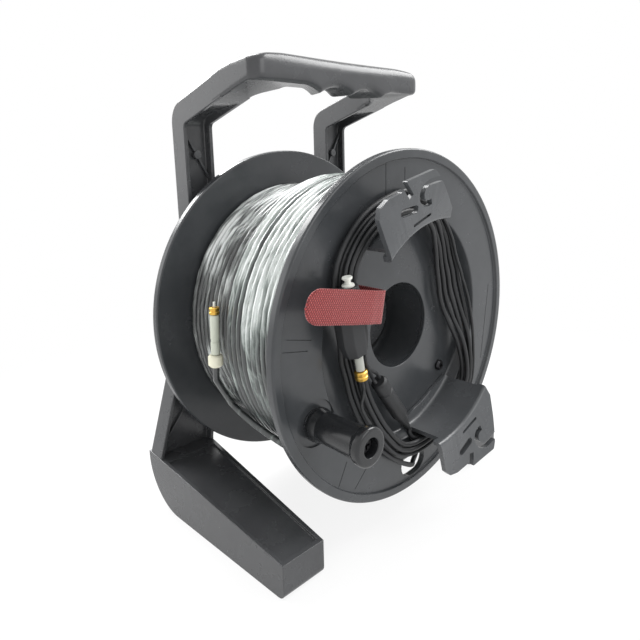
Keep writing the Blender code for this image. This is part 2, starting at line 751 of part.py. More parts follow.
def rim_points(front, back, sink):
    """Outer edge of a flange, from its sunk face over the lip to its flat face."""
    toward = 1 if back > front else -1
    lip = RIM_ROUND * toward
    edge = FLANGE_R - RIM_W
    points = [(edge, front + sink * toward), (edge + RIM_ROUND, front), (FLANGE_R - RIM_ROUND, front)]
    return points + [(FLANGE_R, front + lip), (FLANGE_R, back - lip), (FLANGE_R - RIM_ROUND, back)]


def front_flange(material, parent):
    profile = [(HUB_BORE_R, DISH_A), (DISH_R - DISH_FLARE, DISH_A), (DISH_R, DISH_A - DISH_FLARE),
               (DISH_R + DISH_FLARE, FACE_SINK), *rim_points(0, RIM_T, FACE_SINK), (SPIGOT_R, RIM_T),
               (SPIGOT_R, DISH_BACK_A), (HUB_BORE_R, DISH_BACK_A)]
    flange = lathe("front_flange", profile, ROUND_STEPS)
    slot = capsule(polar(CABLE_HOLE_R, CABLE_HOLE_ANGLE), CABLE_HOLE_L, CABLE_HOLE_W,
                   CABLE_HOLE_ANGLE + math.pi / 2, ARC_STEPS)
    cut(flange, prism("cable_hole", slot, -EMBED, RIM_T + EMBED))
    cup = circle((CRANK_X, CRANK_Z), CUP_R, SMALL_STEPS)
    cut(flange, prism("cup", cup, -EMBED, FACE_SINK + CUP_DEPTH))
    pin = circle((CRANK_X, CRANK_Z), SPINDLE_R + GAP, SMALL_STEPS)
    cut(flange, prism("pin_hole", pin, -EMBED, RIM_T + EMBED))
    for x, z in boss_places():
        hole = circle((x, z), SHAFT_HOLE_R, SCREW_STEPS)
        cut(flange, prism("hole", hole, DISH_A - EMBED, DISH_BACK_A + EMBED))
    return place(flange, material, parent)


def rear_flange(material, parent):
    spigot_in, spigot_a = SPIGOT_R - DISH_WALL, REAR_A - SPIGOT_L
    rim = rim_points(REAR_A + RIM_T, REAR_A, FACE_SINK)
    profile = [(HUB_BORE_R, REAR_BACK_A), *rim, (SPIGOT_R, REAR_A), (SPIGOT_R, spigot_a),
               (spigot_in, spigot_a), (spigot_in, REAR_A), (HUB_BORE_R, REAR_A)]
    flange = lathe("rear_flange", profile, ROUND_STEPS)
    for x, z in boss_places():
        hole = circle((x, z), SHAFT_HOLE_R, SCREW_STEPS)
        cut(flange, prism("hole", hole, REAR_A - EMBED, REAR_BACK_A + EMBED))
    return place(flange, material, parent)


# Cable hooks
def hook_outline():
    """Plan of a hook as seen from the front, for a hook at the top: (x, z) from its long to its short end."""
    reach = HOOK_BACK_R + HOOK_PLATE_L
    low = HOOK_WALL_R - HOOK_BASE_W - EMBED
    left = HOOK_WALL_R * math.sin(HOOK_SPAN_SHORT)
    right = HOOK_WALL_R * math.sin(HOOK_SPAN_LONG)
    corner = HOOK_CORNER
    return [(-left - corner, low), (-left - corner, HOOK_WALL_R),
            (-left - 1.1 * corner, reach - 2.2 * corner), (-left - 0.6 * corner, reach - 1.2 * corner),
            (-left + 0.4 * corner, reach - HOOK_STEP), (-1.6 * corner, reach - HOOK_STEP),
            (-0.9 * corner, reach), (right - 2.9 * corner, reach - HOOK_EDGE),
            (right - 2.35 * corner, reach - HOOK_STEP), (right - 0.9 * corner, reach - 3.5 * corner),
            (right + 0.2 * corner, HOOK_WALL_R), (right + 0.2 * corner, low)]


def hook_slots():
    """Openings of the plate: the curled cable slot, the notch, the oval window and the strap slit."""
    reach = HOOK_BACK_R + HOOK_PLATE_L
    edge = HOOK_WALL_R * math.sin(HOOK_SPAN_LONG) + HOOK_CORNER
    middle = (CURL_X, reach - CURL_IN)
    bend = arc_points(middle, CURL_R, math.radians(75), math.radians(285), ARC_STEPS + 1)
    mouth = (edge, middle[1] + CURL_R * 0.4)
    curl = rounded_stroke([mouth, *bend], HOOK_SLOT_W)
    notch_top = (-NOTCH_X - HOOK_STEP, reach + HOOK_EDGE)
    notch = rounded_stroke([notch_top, (-NOTCH_X, reach - NOTCH_L)], HOOK_SLOT_W)
    window = capsule((-WINDOW_X, reach - WINDOW_IN), WINDOW_L, WINDOW_W, math.radians(-11), ARC_STEPS)
    slit = capsule((SLIT_X, HOOK_BACK_R + SLIT_RISE), SLIT_L, SLIT_W, 0, 2)
    return curl, notch, window, slit


def twist_plate(shape):
    """Raise the plate's long side and lower its short side, more so further out."""
    bm = bmesh.new()
    bm.from_mesh(shape.data)
    bmesh.ops.triangulate(bm, faces=bm.faces)
    for point in bm.verts:
        out = math.hypot(point.co.x, point.co.z) - HOOK_BACK_R
        point.co.y -= HOOK_TWIST * point.co.x * max(out, 0.0) / HOOK_PLATE_L
    bm.to_mesh(shape.data)
    bm.free()


def cable_hook(name, angle, mirrored, wall_span, material, parent):
    """Curved wall on a base in the dish, ending in a flared plate that keeps the coil behind it."""
    rise = HOOK_STAND + HOOK_PLATE_RISE
    end_r = HOOK_BACK_R + HOOK_PLATE_L + HOOK_CORNER
    floor = DISH_A - GAP
    profile = [(HOOK_WALL_R - HOOK_BASE_W, floor), (HOOK_WALL_R - HOOK_BASE_W, floor - HOOK_BASE_T),
               (HOOK_WALL_R - HOOK_T, floor - HOOK_BASE_T), (HOOK_WALL_R, floor - HOOK_BASE_T - HOOK_T),
               (HOOK_WALL_R, HOOK_T - HOOK_STAND), (HOOK_WALL_R + HOOK_T * 0.3, HOOK_T * 0.3 - HOOK_STAND),
               (HOOK_BACK_R, -HOOK_STAND), (end_r, -rise), (end_r, HOOK_T - rise),
               (HOOK_BACK_R + HOOK_T * 0.7, HOOK_T - HOOK_STAND), (HOOK_BACK_R, HOOK_T * 1.7 - HOOK_STAND),
               (HOOK_BACK_R, floor - HOOK_T * 0.9), (HOOK_BACK_R - HOOK_T * 0.9, floor)]
    start = math.pi / 2 - HOOK_SPAN_LONG - math.radians(4)
    arc = HOOK_SPAN_LONG + HOOK_SPAN_SHORT + math.radians(14)
    hook = lathe(name, profile, HOOK_STEPS, arc=arc, start=start)
    combine(hook, prism("plan", hook_outline(), -2 * rise, 2 * rise), "INTERSECT")
    trim_r = HOOK_BACK_R + EMBED
    ends = [polar(trim_r, math.pi / 2 + HOOK_SPAN_SHORT), polar(trim_r, math.pi / 2 - wall_span)]
    for (x, z), sign in zip(ends, (-1, 1)):
        wedge = [(x, z), (0, 0), (sign * trim_r, 0), (sign * trim_r, z)]
        cut(hook, prism("end_trim", wedge, HOOK_T * 2 - HOOK_STAND, 2 * DISH_A))
    for outline in hook_slots():
        cut(hook, prism("slot", outline, -2 * rise, HOOK_T - HOOK_STAND + HOOK_T))
    twist_plate(hook)
    turn = Matrix.Rotation(math.pi / 2 - angle, 4, "Y")
    flip = Matrix.Scale(-1, 4, (1, 0, 0)) if mirrored else Matrix.Identity(4)
    hook.data.transform(turn @ flip)
    if mirrored:
        hook.data.flip_normals()
    return place(hook, material, parent, 30)


# Crank
def crank(grip_material, steel, drum, axis):
    seat = FACE_SINK + CUP_DEPTH
    collar_a = seat - GAP
    collar_end = collar_a - SPINDLE_COLLAR_T
    shelf = CRANK_RECESS_L - CRANK_REACH
    screw_seat = shelf + 2 * GAP
    pin_tip = screw_seat + GAP
    socket_r = SCREW_R + GAP
    spindle = [(0, RIM_T), (SPINDLE_R, RIM_T), (SPINDLE_R, collar_a), (SPINDLE_COLLAR_R, collar_a),
               (SPINDLE_COLLAR_R, collar_end), (SPINDLE_R, collar_end), (SPINDLE_R, pin_tip),
               (socket_r, pin_tip), (socket_r, pin_tip + SCREW_L), (0, pin_tip + SCREW_L)]
    pin = lathe("crank_spindle", spindle, SMALL_STEPS, through_axis=True)
    head_r = CRANK_RECESS_R - 2 * GAP
    head_top = screw_seat - SCREW_HEAD_H
    bolt = [(0, head_top), (head_r * 0.8, head_top), (head_r, screw_seat - SCREW_HEAD_H * 0.4),
            (head_r, screw_seat - GAP), (SCREW_R, screw_seat - GAP), (SCREW_R, pin_tip + SCREW_L * 0.8),
            (0, pin_tip + SCREW_L * 0.8)]
    head = lathe("crank_screw", bolt, SMALL_STEPS, through_axis=True)
    for shape in (pin, head):
        shape.data.transform(Matrix.Translation((CRANK_X, 0, CRANK_Z)))
        place(shape, steel, drum)
    bore = SPINDLE_R + RUN_GAP
    base = collar_end - GAP
    lip = 2 * MM
    grip = [(bore, base), (CRANK_BASE_R - lip / 2, base), (CRANK_BASE_R, base - lip / 2),
            (CRANK_WAIST_R, base - CRANK_REACH * 0.4), (CRANK_WAIST_R + lip * 0.4, lip * 4 - CRANK_REACH),
            (CRANK_END_R - lip * 0.3, lip * 2.2 - CRANK_REACH), (CRANK_END_R, lip * 1.2 - CRANK_REACH),
            (CRANK_END_R - lip * 0.3, lip * 0.2 - CRANK_REACH), (CRANK_END_R - lip, -CRANK_REACH),
            (CRANK_RECESS_R, -CRANK_REACH), (CRANK_RECESS_R, shelf + GAP * 3), (bore, shelf + GAP * 3)]
    place(lathe("crank_grip", grip, SMALL_STEPS + 4), grip_material, axis)


# Wound cable
def winding_route():
    """Outer layer: from the end connector to the front, turn by turn back, and down a step to the rear."""
    first_a = RIM_T + CABLE_D / 2 + 2 * GAP
    last_a = REAR_A - CABLE_D / 2 - 2 * GAP
    pitch = (last_a - first_a) / CABLE_TURNS
    front_r = WINDING_R + LAYER_RISE
    top_r = front_r + CABLE_D + TURN_GAP * 1.6
    tangent = polar(1, END_ANGLE + math.pi / 2)
    foot_point = polar(end_axis_r(), END_ANGLE)
    lead_in = END_SLEEVE_L / 2 + END_NUT_L + 2 * GAP
    route = []
    for run in (lead_in, lead_in + CABLE_D, lead_in + 2 * CABLE_D):
        route.append(Vector((foot_point[0] + tangent[0] * run, END_A, foot_point[1] + tangent[1] * run)))
    cross_start, cross_end = END_ANGLE + math.radians(24), END_ANGLE + math.radians(62)
    ramp_end = cross_end + math.radians(30)
    for i in range(1, 6):
        t = i / 5
        angle = cross_start + (cross_end - cross_start) * t
        x, z = polar(top_r, angle)
        route.append(Vector((x, END_A + (first_a - END_A) * smooth_step(t), z)))
    for i in range(1, 3):
        radius = top_r + (front_r - top_r) * smooth_step(i / 3)
        x, z = polar(radius, cross_end + (ramp_end - cross_end) * i / 3)
        route.append(Vector((x, first_a, z)))
    for i in range(CABLE_TURNS * LOOP_POINTS + 1):
        along = first_a + pitch * i / LOOP_POINTS
        radius = front_r - LAYER_RISE * smooth_step((along - RIM_T - LAYER_L) / (pitch / 6))
        x, z = polar(radius, ramp_end + math.tau * i / LOOP_POINTS)
        route.append(Vector((x, along, z)))
    last = route[-1]
    end_angle = ramp_end + math.tau * CABLE_TURNS
    straight = Vector((-math.sin(end_angle), 0, math.cos(end_angle))) * CABLE_D
    route.append(last + straight)
    return route, end_angle, last_a


def end_axis_r():
    return WINDING_R + CABLE_D / 2 + END_COLLAR_R + END_LIFT


def wound_cable(core_material, cable_material, parent):
    route, end_angle, last_a = winding_route()
    facet = math.cos(math.pi / LOOP_POINTS)
    core_r = WINDING_R * facet - CABLE_D / 2 - GAP
    low, high = RIM_T + GAP, REAR_A - GAP
    inner_r = (BARREL_R + GAP) / facet
    front_r = core_r + LAYER_RISE * facet
    step_a = RIM_T + LAYER_L - CABLE_D / 2 - GAP
    profile = [(inner_r, low), (front_r, low), (front_r, step_a), (core_r, step_a), (core_r, high),
               (inner_r, high)]
    core = lathe("cable_core", profile, LOOP_POINTS, start=end_angle)
    step_r = WINDING_R + CABLE_D / 2
    along = Vector((-math.sin(end_angle), math.cos(end_angle)))
    foot_point = Vector(polar(core_r - EMBED, end_angle)) + along * (CABLE_D + GAP)
    head_point = Vector(polar(step_r, end_angle)) + along * (CABLE_D + GAP)
    riser = [foot_point, head_point, foot_point + along * 4 * CABLE_D]
    unite(core, prism("riser", [(p.x, p.y) for p in riser], last_a - CABLE_D / 2, last_a + CABLE_D / 2))
    place(core, core_material, parent)
    print("winding, least gap to itself in mm:", round(least_gap(route, CABLE_D) / MM, 3))
    place(tube("cable_winding", route, CABLE_D, 1), cable_material, parent)


def rod(name, centre, aim, height, low, high, radius, steps, bore=0.0):
    """Round piece lying flat on the front, along an aim in the x-z plane, between two distances on it."""
    if bore:
        profile = [(bore, low), (radius, low), (radius, high), (bore, high)]
    else:
        profile = [(0, low), (radius, low), (radius, high), (0, high)]
    shape = lathe(name, profile, steps, through_axis=not bore)
    shape.data.transform(Matrix.Rotation(aim - math.pi / 2, 4, "Z"))
    stand_up = Matrix.Rotation(math.pi / 2, 4, "X")
    shape.data.transform(Matrix.Translation((centre[0], height, centre[1])) @ stand_up)
    return shape


def end_connector(white, gold, cream, parent):
    centre = polar(end_axis_r(), END_ANGLE)
    aim = END_ANGLE + math.pi / 2
    half = END_SLEEVE_L / 2
    place(rod("end_sleeve", centre, aim, END_A, -half, half, END_SLEEVE_R, SMALL_STEPS), white, parent)
    collar_low = -half - GAP - END_COLLAR_L
    collar = rod("end_collar", centre, aim, END_A, collar_low, -half - GAP, END_COLLAR_R, SMALL_STEPS)
    place(collar, gold, parent)
    nut = rod("end_nut", centre, aim, END_A, half + GAP, half + GAP + END_NUT_L, END_NUT_R, SMALL_STEPS)
    place(nut, cream, parent)


# Stored lead
# How the stored lead lies, by the angle round the drum in degrees: how far it is drawn in between the
# hooks, how far it sags into the dish, how far its turns spread out flat on the right, and their spacing
LEAD_DRAWN_IN = {-36: 0, -25: 0.41, -10: 0.75, 5: 0.93, 20: 1, 35: 0.95, 50: 0.82, 65: 0.6, 80: 0.3, 95: 0,
                 134: 0, 140: 0.08, 155: 0.45, 170: 0.79, 185: 0.95, 200: 1, 215: 0.9, 230: 0.72, 245: 0.42,
                 260: 0.05, 268: 0, 320: 0}
LEAD_SAGGING = {-40: 0, -25: 0.4, -10: 0.8, 5: 1, 50: 1, 65: 0.5, 80: 0, 155: 0, 165: 0.1, 185: 1, 215: 1,
                230: 0.7, 245: 0.2, 260: 0, 320: 0}
LEAD_FLAT = {-36: 0, -25: 0.5, -10: 1, 65: 1, 80: 0.5, 95: 0, 320: 0}
LEAD_LEVEL = {-25: 0, -10: 1, 65: 1, 80: 0, 335: 0}
LEAD_SPACING = {-25: 0.8, -10: 0.9, 5: 1, 20: 1, 35: 0.97, 50: 0.84, 65: 0.71, 80: 0.71, 200: 0.75}
SLOT_COLUMN = (0, 0, 1, 1, 2, 3)
SLOT_LAYER = (0, 1, 0, 1, 0, 0)


def on_table(table, degrees):
    """Value of a table at an angle, averaged over a few degrees so that the strands bend smoothly."""
    places = [degrees + turn for turn in (-6, -3, 0, 3, 6)]
    return float(np.interp(places, list(table), list(table.values()), period=360).mean())


def lead_line(degrees):
    """Point of the innermost strand, seen from the front."""
    side_r = LEAD_RIGHT_R if -90 <= math.remainder(degrees, 360) <= 100 else LEAD_LEFT_R
    radius = LEAD_R - (LEAD_R - side_r) * on_table(LEAD_DRAWN_IN, degrees)
    return Vector(polar(radius, math.radians(degrees)))


def lead_place(degrees, column, layer, order):
    """Place of a strand: in its column and layer at the hooks and on the left, in order on the right."""
    run = (lead_line(degrees + 6) - lead_line(degrees - 6)).normalized()
    flat = on_table(LEAD_FLAT, degrees)
    out = (1 - flat) * LEAD_PITCH * column
    out += flat * LEAD_SPREAD * on_table(LEAD_SPACING, degrees) * order
    spot = lead_line(degrees) + Vector((run.y, -run.x)) * out
    lift = LEAD_PITCH * layer * (1 - on_table(LEAD_LEVEL, degrees))
    return Vector((spot.x, LEAD_A + LEAD_SAG * on_table(LEAD_SAGGING, degrees) - lift, spot.y))


def beside(origin, aim, distance, offset, height):
    """Point at a distance along an aim in the front's plane, and offset to its left."""
    along, across = polar(distance, aim), polar(offset, aim + math.pi / 2)
    return Vector((origin[0] + along[0] + across[0], height, origin[1] + along[1] + across[1]))


def fan_out(body_material, parent):
    body = rod("fan_out_body", FAN_OUT_TOP, FAN_OUT_AIM, 0, 0, FAN_OUT_L, FAN_OUT_R, SMALL_STEPS)
    place(body, body_material, parent)
    low, high = FAN_OUT_L + GAP, FAN_OUT_L + GAP + FAN_OUT_BOOT_L
    profile = [(0, low), (FAN_OUT_R * 0.86, low), (LEAD_D * 0.62, high), (0, high)]
    boot = lathe("fan_out_boot", profile, SMALL_STEPS, through_axis=True)
    boot.data.transform(Matrix.Rotation(FAN_OUT_AIM - math.pi / 2, 4, "Z"))
    lay = Matrix.Translation((FAN_OUT_TOP[0], 0, FAN_OUT_TOP[1])) @ Matrix.Rotation(math.pi / 2, 4, "X")
    boot.data.transform(lay)
    place(boot, body_material, parent)


def lead_route():
    """From the boot, out past the lower hook, round both hooks turn by turn and in through the cable hole."""
    start = FAN_OUT_L + 2 * GAP + FAN_OUT_BOOT_L
    route = [beside(FAN_OUT_TOP, FAN_OUT_AIM, run, 0, 0) for run in (start, start + LEAD_D)]
    hook_end = math.degrees(HOOK_ANGLE - HOOK_SPAN_SHORT) - 180
    for back, radius, drop in ((5.0, HOOK_WALL_R + LEAD_D * 0.4, 0.25), (3.0, LEAD_R - LEAD_D * 0.4, 0.7)):
        x, z = polar(radius, math.radians(hook_end - back))
        route.append(Vector((x, LEAD_A * drop, z)))
    first = hook_end + 1
    last = math.degrees(CABLE_HOLE_ANGLE) + 360 * LEAD_TURNS - 10
    step = 360 / LOOP_POINTS
    for i in range(math.floor((last - first) / step) + 1):
        degrees = first + step * i
        turn, rest = divmod(step * i, 360)
        moved = smooth_step((rest + first + 25) / 105)
        slot = int(turn) + (moved > 0.5)
        route.append(lead_place(degrees, SLOT_COLUMN[slot], SLOT_LAYER[slot], turn + moved))
    for turn, along in ((-3, 0.0), (0, RIM_T * 0.35), (2.6, RIM_T * 0.7), (5.0, RIM_T)):
        x, z = polar(CABLE_HOLE_R, CABLE_HOLE_ANGLE + math.radians(turn))
        route.append(Vector((x, along, z)))
    return route


def tail_loop_route():
    """From the fan-out's top, over the coil, once round both hooks on top of it, up to the connector."""
    route = [beside(FAN_OUT_TOP, FAN_OUT_AIM, run, TAIL_D, 0) for run in (-GAP, -GAP - 2 * TAIL_D)]
    over = Vector((0, -TAIL_RISE, 0))
    route += [lead_place(200, -1, 0, 0) + over, lead_place(186, 1, 0, 0) + over]
    for degrees in range(170, -116, -15):
        level = Vector((0, LEAD_PITCH * on_table(LEAD_LEVEL, degrees), 0))
        route.append(lead_place(degrees, 2, 1, 4.4) - level)
    route.append(lead_place(-140, 3, 2, 0))
    collar_end = HOUSING_L + CONNECTOR_TUBE_L + CONNECTOR_COLLAR_L + 3 * GAP
    for run in (collar_end + 4 * TAIL_D, collar_end + TAIL_D, collar_end):
        route.append(beside(HOUSING_TOP, HOUSING_AIM, run, 0, -HOUSING_HEIGHT))
    return route


def connector(black, white, gold, parent):
    """Connector under the strap: black housing, white tube and gold collar below it, pale tip above it."""
    half = HOUSING_W / 2
    chamfer = HOUSING_H * 0.45
    high, low = -HOUSING_HEIGHT - HOUSING_H / 2, -HOUSING_HEIGHT + HOUSING_H / 2
    section = [(-half, low), (half, low), (half, high + chamfer), (half - chamfer * 1.6, high),
               (chamfer - half, high), (-half, high + chamfer)]
    aim = Vector(polar(1, HOUSING_AIM))
    rings = []
    for run, taper in ((0, 0.7), (HOUSING_L * 0.2, 1.0), (HOUSING_L * 0.8, 1.0), (HOUSING_L, 0.78)):
        middle = Vector(HOUSING_TOP) + aim * run
        across = Vector((-aim.y, aim.x)) * taper
        rings.append([(middle.x + across.x * s, along, middle.y + across.y * s) for s, along in section])
    place(loft("connector_housing", rings), black, parent, 20)
    height = -HOUSING_HEIGHT
    tube_low, tube_high = HOUSING_L + GAP, HOUSING_L + GAP + CONNECTOR_TUBE_L
    white_tube = rod("connector_tube", HOUSING_TOP, HOUSING_AIM, height, tube_low, tube_high,
                     CONNECTOR_TUBE_R, SMALL_STEPS)
    place(white_tube, white, parent)
    collar = rod("connector_collar", HOUSING_TOP, HOUSING_AIM, height, tube_high + GAP,
                 tube_high + GAP + CONNECTOR_COLLAR_L, CONNECTOR_COLLAR_R, SMALL_STEPS)
    place(collar, gold, parent)
    neck, tip_l = CONNECTOR_TIP_R * 0.5, CONNECTOR_TIP_L
    profile = [(0, -GAP), (CONNECTOR_TIP_R, -GAP), (CONNECTOR_TIP_R, -tip_l * 0.25), (neck, -tip_l * 0.35),
               (neck, -tip_l * 0.7), (CONNECTOR_TIP_R * 0.85, -tip_l * 0.8), (CONNECTOR_TIP_R * 0.85, -tip_l),
               (0, -tip_l)]
    tip = lathe("connector_tip", profile, SMALL_STEPS, through_axis=True)
    tip.data.transform(Matrix.Rotation(HOUSING_AIM - math.pi / 2, 4, "Z"))
    lay = Matrix.Translation((HOUSING_TOP[0], height, HOUSING_TOP[1])) @ Matrix.Rotation(math.pi / 2, 4, "X")
    tip.data.transform(lay)
    place(tip, white, parent)


def stored_lead(black, parent):
    route = lead_route()
    print("lead, least gap to itself in mm:", round(least_gap(route, LEAD_D) / MM, 3))
    place(tube("lead_coil", route, LEAD_D, 1), black, parent)
    place(tube("lead_tail_loop", smooth_route(tail_loop_route(), 2), TAIL_D, 2), black, parent)
    points = [beside(FAN_OUT_TOP, FAN_OUT_AIM, run, -TAIL_D, 0) for run in (-GAP, -GAP - 3 * TAIL_D)]
    plug_side, plug_end = HOUSING_W * 0.28, HOUSING_L + GAP
    points += [beside(HOUSING_TOP, HOUSING_AIM, plug_end + run, plug_side, -HOUSING_HEIGHT)
               for run in (4 * TAIL_D, TAIL_D, 0)]
    place(tube("lead_tail_short", smooth_route(points, 3), TAIL_D, 2), black, parent)


def tie_strap(material, parent):
    """Open band: under the bundle, round its inner side, over the top and out to a round-ended tail."""
    under = FACE_SINK - GAP
    sunk = DISH_A - LEAD_FLOOR * 0.6
    over = -HOUSING_HEIGHT - HOUSING_H / 2 - GAP - STRAP_T
    inside, outside = LEAD_R - STRAP_REACH_IN, LEAD_R + STRAP_REACH_OUT
    route = [(0.68, under), (0.56, under), (0.45, under), (0.39, under + STRAP_T * 0.4), (0.33, sunk - STRAP_T * 2),
             (0.26, sunk), (0.1, sunk), (0.03, sunk * 0.6), (0.0, 0.0), (0.0, over * 0.72), (0.04, over * 0.93),
             (0.13, over), (0.42, over), (0.68, over), (0.9, over), (1.1, over * 0.97), (1.15, over * 0.96),
             (1.19, over * 0.95), (1.215, over * 0.94)]
    points = [Vector((inside + (outside - inside) * out, along)) for out, along in route]
    half = STRAP_W / 2
    ends = (1.0, 0.93, 0.78, 0.5)
    out, side = Vector(polar(1, STRAP_ANGLE)), Vector(polar(1, STRAP_ANGLE + math.pi / 2))
    rings = []
    for i, point in enumerate(points):
        run = (points[min(i + 1, len(points) - 1)] - points[max(i - 1, 0)]).normalized() * STRAP_T
        skin = (point, point + Vector((-run.y, run.x)))
        width = half * ends[max(i - len(points) + len(ends), 0)]
        corners = ((skin[0], -width), (skin[0], width), (skin[1], width), (skin[1], -width))
        rings.append([(out.x * p.x + side.x * (s - STRAP_RISE), p.y, out.y * p.x + side.y * (s - STRAP_RISE))
                      for p, s in corners])
    place(loft("tie_strap", rings), material, parent, 50)


def main():
    clear_scene()
    black = finish("black_plastic", (0.035, 0.037, 0.04), 0.45)
    drum_black = finish("drum_plastic", (0.03, 0.032, 0.035), 0.38)
    gloss = finish("gloss_plastic", (0.02, 0.021, 0.023), 0.2)
    steel = finish("zinc_steel", (0.55, 0.56, 0.58), 0.3, 1.0)
    bush = finish("bearing_plastic", (0.75, 0.74, 0.7), 0.4)
    film = finish("film_wrapped_cable", (0.62, 0.66, 0.65), 0.15)
    jacket = finish("inner_cable", (0.2, 0.21, 0.21), 0.4)
    rubber = finish("lead_jacket", (0.02, 0.021, 0.023), 0.5)
    red = finish("red_strap", (0.58, 0.09, 0.09), 0.85)
    white = finish("white_plastic", (0.75, 0.76, 0.7), 0.35)
    cream = finish("cream_plastic", (0.8, 0.78, 0.62), 0.4)
    gold = finish("gold_collar", (0.8, 0.52, 0.1), 0.3, 0.6)

    stand = empty("stand_line", (0, FRONT_Y, AXIS_Z))
    drum = empty("drum_axis", (0, FRONT_Y, AXIS_Z))
    crank_axis = empty("crank_axis", (CRANK_X, 0, CRANK_Z), drum)

    stand_frame(black, stand)
    axle_tube(steel, stand)
    bearings(bush, steel, black, drum, stand)
    for i, centre in enumerate(axle_screw_places(), 1):
        screw(f"axle_screw_{i}", centre, AXLE_PLATE_A, 1, steel, stand)

    drum_core(drum_black, drum)
    front_flange(drum_black, drum)
    rear_flange(drum_black, drum)
    for i, centre in enumerate(boss_places(), 1):
        screw(f"front_screw_{i}", centre, DISH_A, 1, steel, drum)
        screw(f"rear_screw_{i}", centre, REAR_BACK_A, -1, steel, drum)
    cable_hook("cable_hook_upper", HOOK_ANGLE, False, HOOK_SPAN_UPPER, drum_black, drum)
    cable_hook("cable_hook_lower", HOOK_ANGLE + math.pi, True, HOOK_SPAN_LONG, drum_black, drum)
    crank(gloss, steel, drum, crank_axis)

    wound_cable(jacket, film, drum)
    end_connector(white, gold, cream, drum)
    fan_out(rubber, drum)
    connector(rubber, white, gold, drum)
    stored_lead(rubber, drum)
    tie_strap(red, drum)


main()
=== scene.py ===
# %% [markdown]
# # A cable drum on its carrying stand
# The real object is a hand-wound drum that hangs on one side of a black moulded stand. Its cable is wrapped in
# clear film, and a thin lead is stored on the drum's front face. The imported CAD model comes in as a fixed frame.
# This lesson then dresses it: every visible piece is modelled again with finer edges and real finishes, and
# each one rides on the CAD body that moves it.

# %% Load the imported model
import math

import bmesh
import bpy
import numpy as np
from mathutils import Matrix, Vector


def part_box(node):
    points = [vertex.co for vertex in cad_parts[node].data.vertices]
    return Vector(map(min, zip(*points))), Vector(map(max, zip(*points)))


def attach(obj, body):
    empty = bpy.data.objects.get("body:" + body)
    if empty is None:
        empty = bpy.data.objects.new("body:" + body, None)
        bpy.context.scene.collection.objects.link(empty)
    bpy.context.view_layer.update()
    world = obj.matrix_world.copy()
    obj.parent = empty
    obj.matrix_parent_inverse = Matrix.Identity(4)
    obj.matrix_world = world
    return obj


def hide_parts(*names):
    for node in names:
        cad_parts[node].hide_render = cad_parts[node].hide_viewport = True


MM = 0.001


def mm(*values):
    """Lengths in metres, from values in millimetres."""
    return [value * MM for value in values]


def placed(name, data):
    """New object in the scene, at the origin."""
    thing = bpy.data.objects.new(name, data)
    bpy.context.scene.collection.objects.link(thing)
    return thing


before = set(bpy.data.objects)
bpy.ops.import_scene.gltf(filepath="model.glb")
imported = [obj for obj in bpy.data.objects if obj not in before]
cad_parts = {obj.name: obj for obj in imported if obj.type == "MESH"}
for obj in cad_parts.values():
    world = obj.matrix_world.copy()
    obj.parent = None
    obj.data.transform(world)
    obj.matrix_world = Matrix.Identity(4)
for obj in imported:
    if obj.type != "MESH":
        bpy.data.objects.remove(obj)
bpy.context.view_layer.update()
flange_low, flange_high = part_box("front_flange")
FRONT_Y = flange_low[1]
AXIS_Z = (flange_low[2] + flange_high[2]) / 2
FLANGE_R = (flange_high[0] - flange_low[0]) / 2
TO_AXIS = Matrix.Translation((0, FRONT_Y, AXIS_Z))
print("drum axis", round(AXIS_Z / MM, 1), "mm above the floor, flange radius", round(FLANGE_R / MM, 1), "mm")

# %% [markdown]
# ## The camera
# The photograph was taken from the front left, a little above the drum. A camera can be matched by eye, but a
# fit over measured points is surer: known points of the CAD model were set against their places in the picture,
# and the lens, the position and a small shift came out of that fit.

# %% Camera
lens_data = bpy.data.cameras.new("photo_camera")
lens_data.sensor_width = 36
lens_data.lens = 32.685
lens_data.shift_x, lens_data.shift_y = -0.046875, -0.078125
lens_data.clip_start = 0.01
photo_camera = placed("photo_camera", lens_data)
photo_camera.location = (-0.29627, -0.2852, 0.25229)
photo_camera.rotation_euler = [math.radians(turn) for turn in (78.568, 0.806, -46.263)]
bpy.context.scene.camera = photo_camera
bpy.context.scene.view_settings.view_transform = "Standard"
print("camera lens", lens_data.lens, "mm")

# %% [markdown]
# ## Finishes from nodes
# A finish is never one flat colour. Moulded plastic has a fine eroded grain and slightly uneven gloss, so each
# plastic here takes a grain for its bump and a broad cloud for its colour and roughness. Everything reads Object
# coordinates, which stay with the piece when the drum turns.


# %% Helpers for finishes
def feed(node, inputs):
    """Join sockets to a node's inputs, and set the other values on them."""
    for key, value in inputs.items():
        if isinstance(value, bpy.types.NodeSocket):
            node.id_data.links.new(value, node.inputs[key])
        else:
            node.inputs[key].default_value = value


def node_adder(tree):
    """A short way to add nodes to a tree, with their settings and inputs."""

    def add(kind, inputs, **settings):
        node = tree.nodes.new("ShaderNode" + kind)
        for key, value in settings.items():
            setattr(node, key, value)
        feed(node, inputs)
        return node.outputs

    return add


def new_finish(name):
    """A material, its shader and a way to add nodes."""
    material = bpy.data.materials.new(name)
    material.use_nodes = True
    return material, material.node_tree.nodes["Principled BSDF"], node_adder(material.node_tree)


def object_place(add):
    return add("TexCoord", {})["Object"]


def calc(add, operation, *terms):
    """Result of a Math node on sockets and numbers."""
    return add("Math", dict(enumerate(terms)), operation=operation)[0]


def noise(add, place, scale, detail, roughness=0.5):
    return add("TexNoise", {"Vector": place, "Scale": scale, "Detail": detail, "Roughness": roughness})["Fac"]


def bumped(add, height, strength, distance):
    return add("Bump", {"Height": height, "Strength": strength, "Distance": distance})["Normal"]


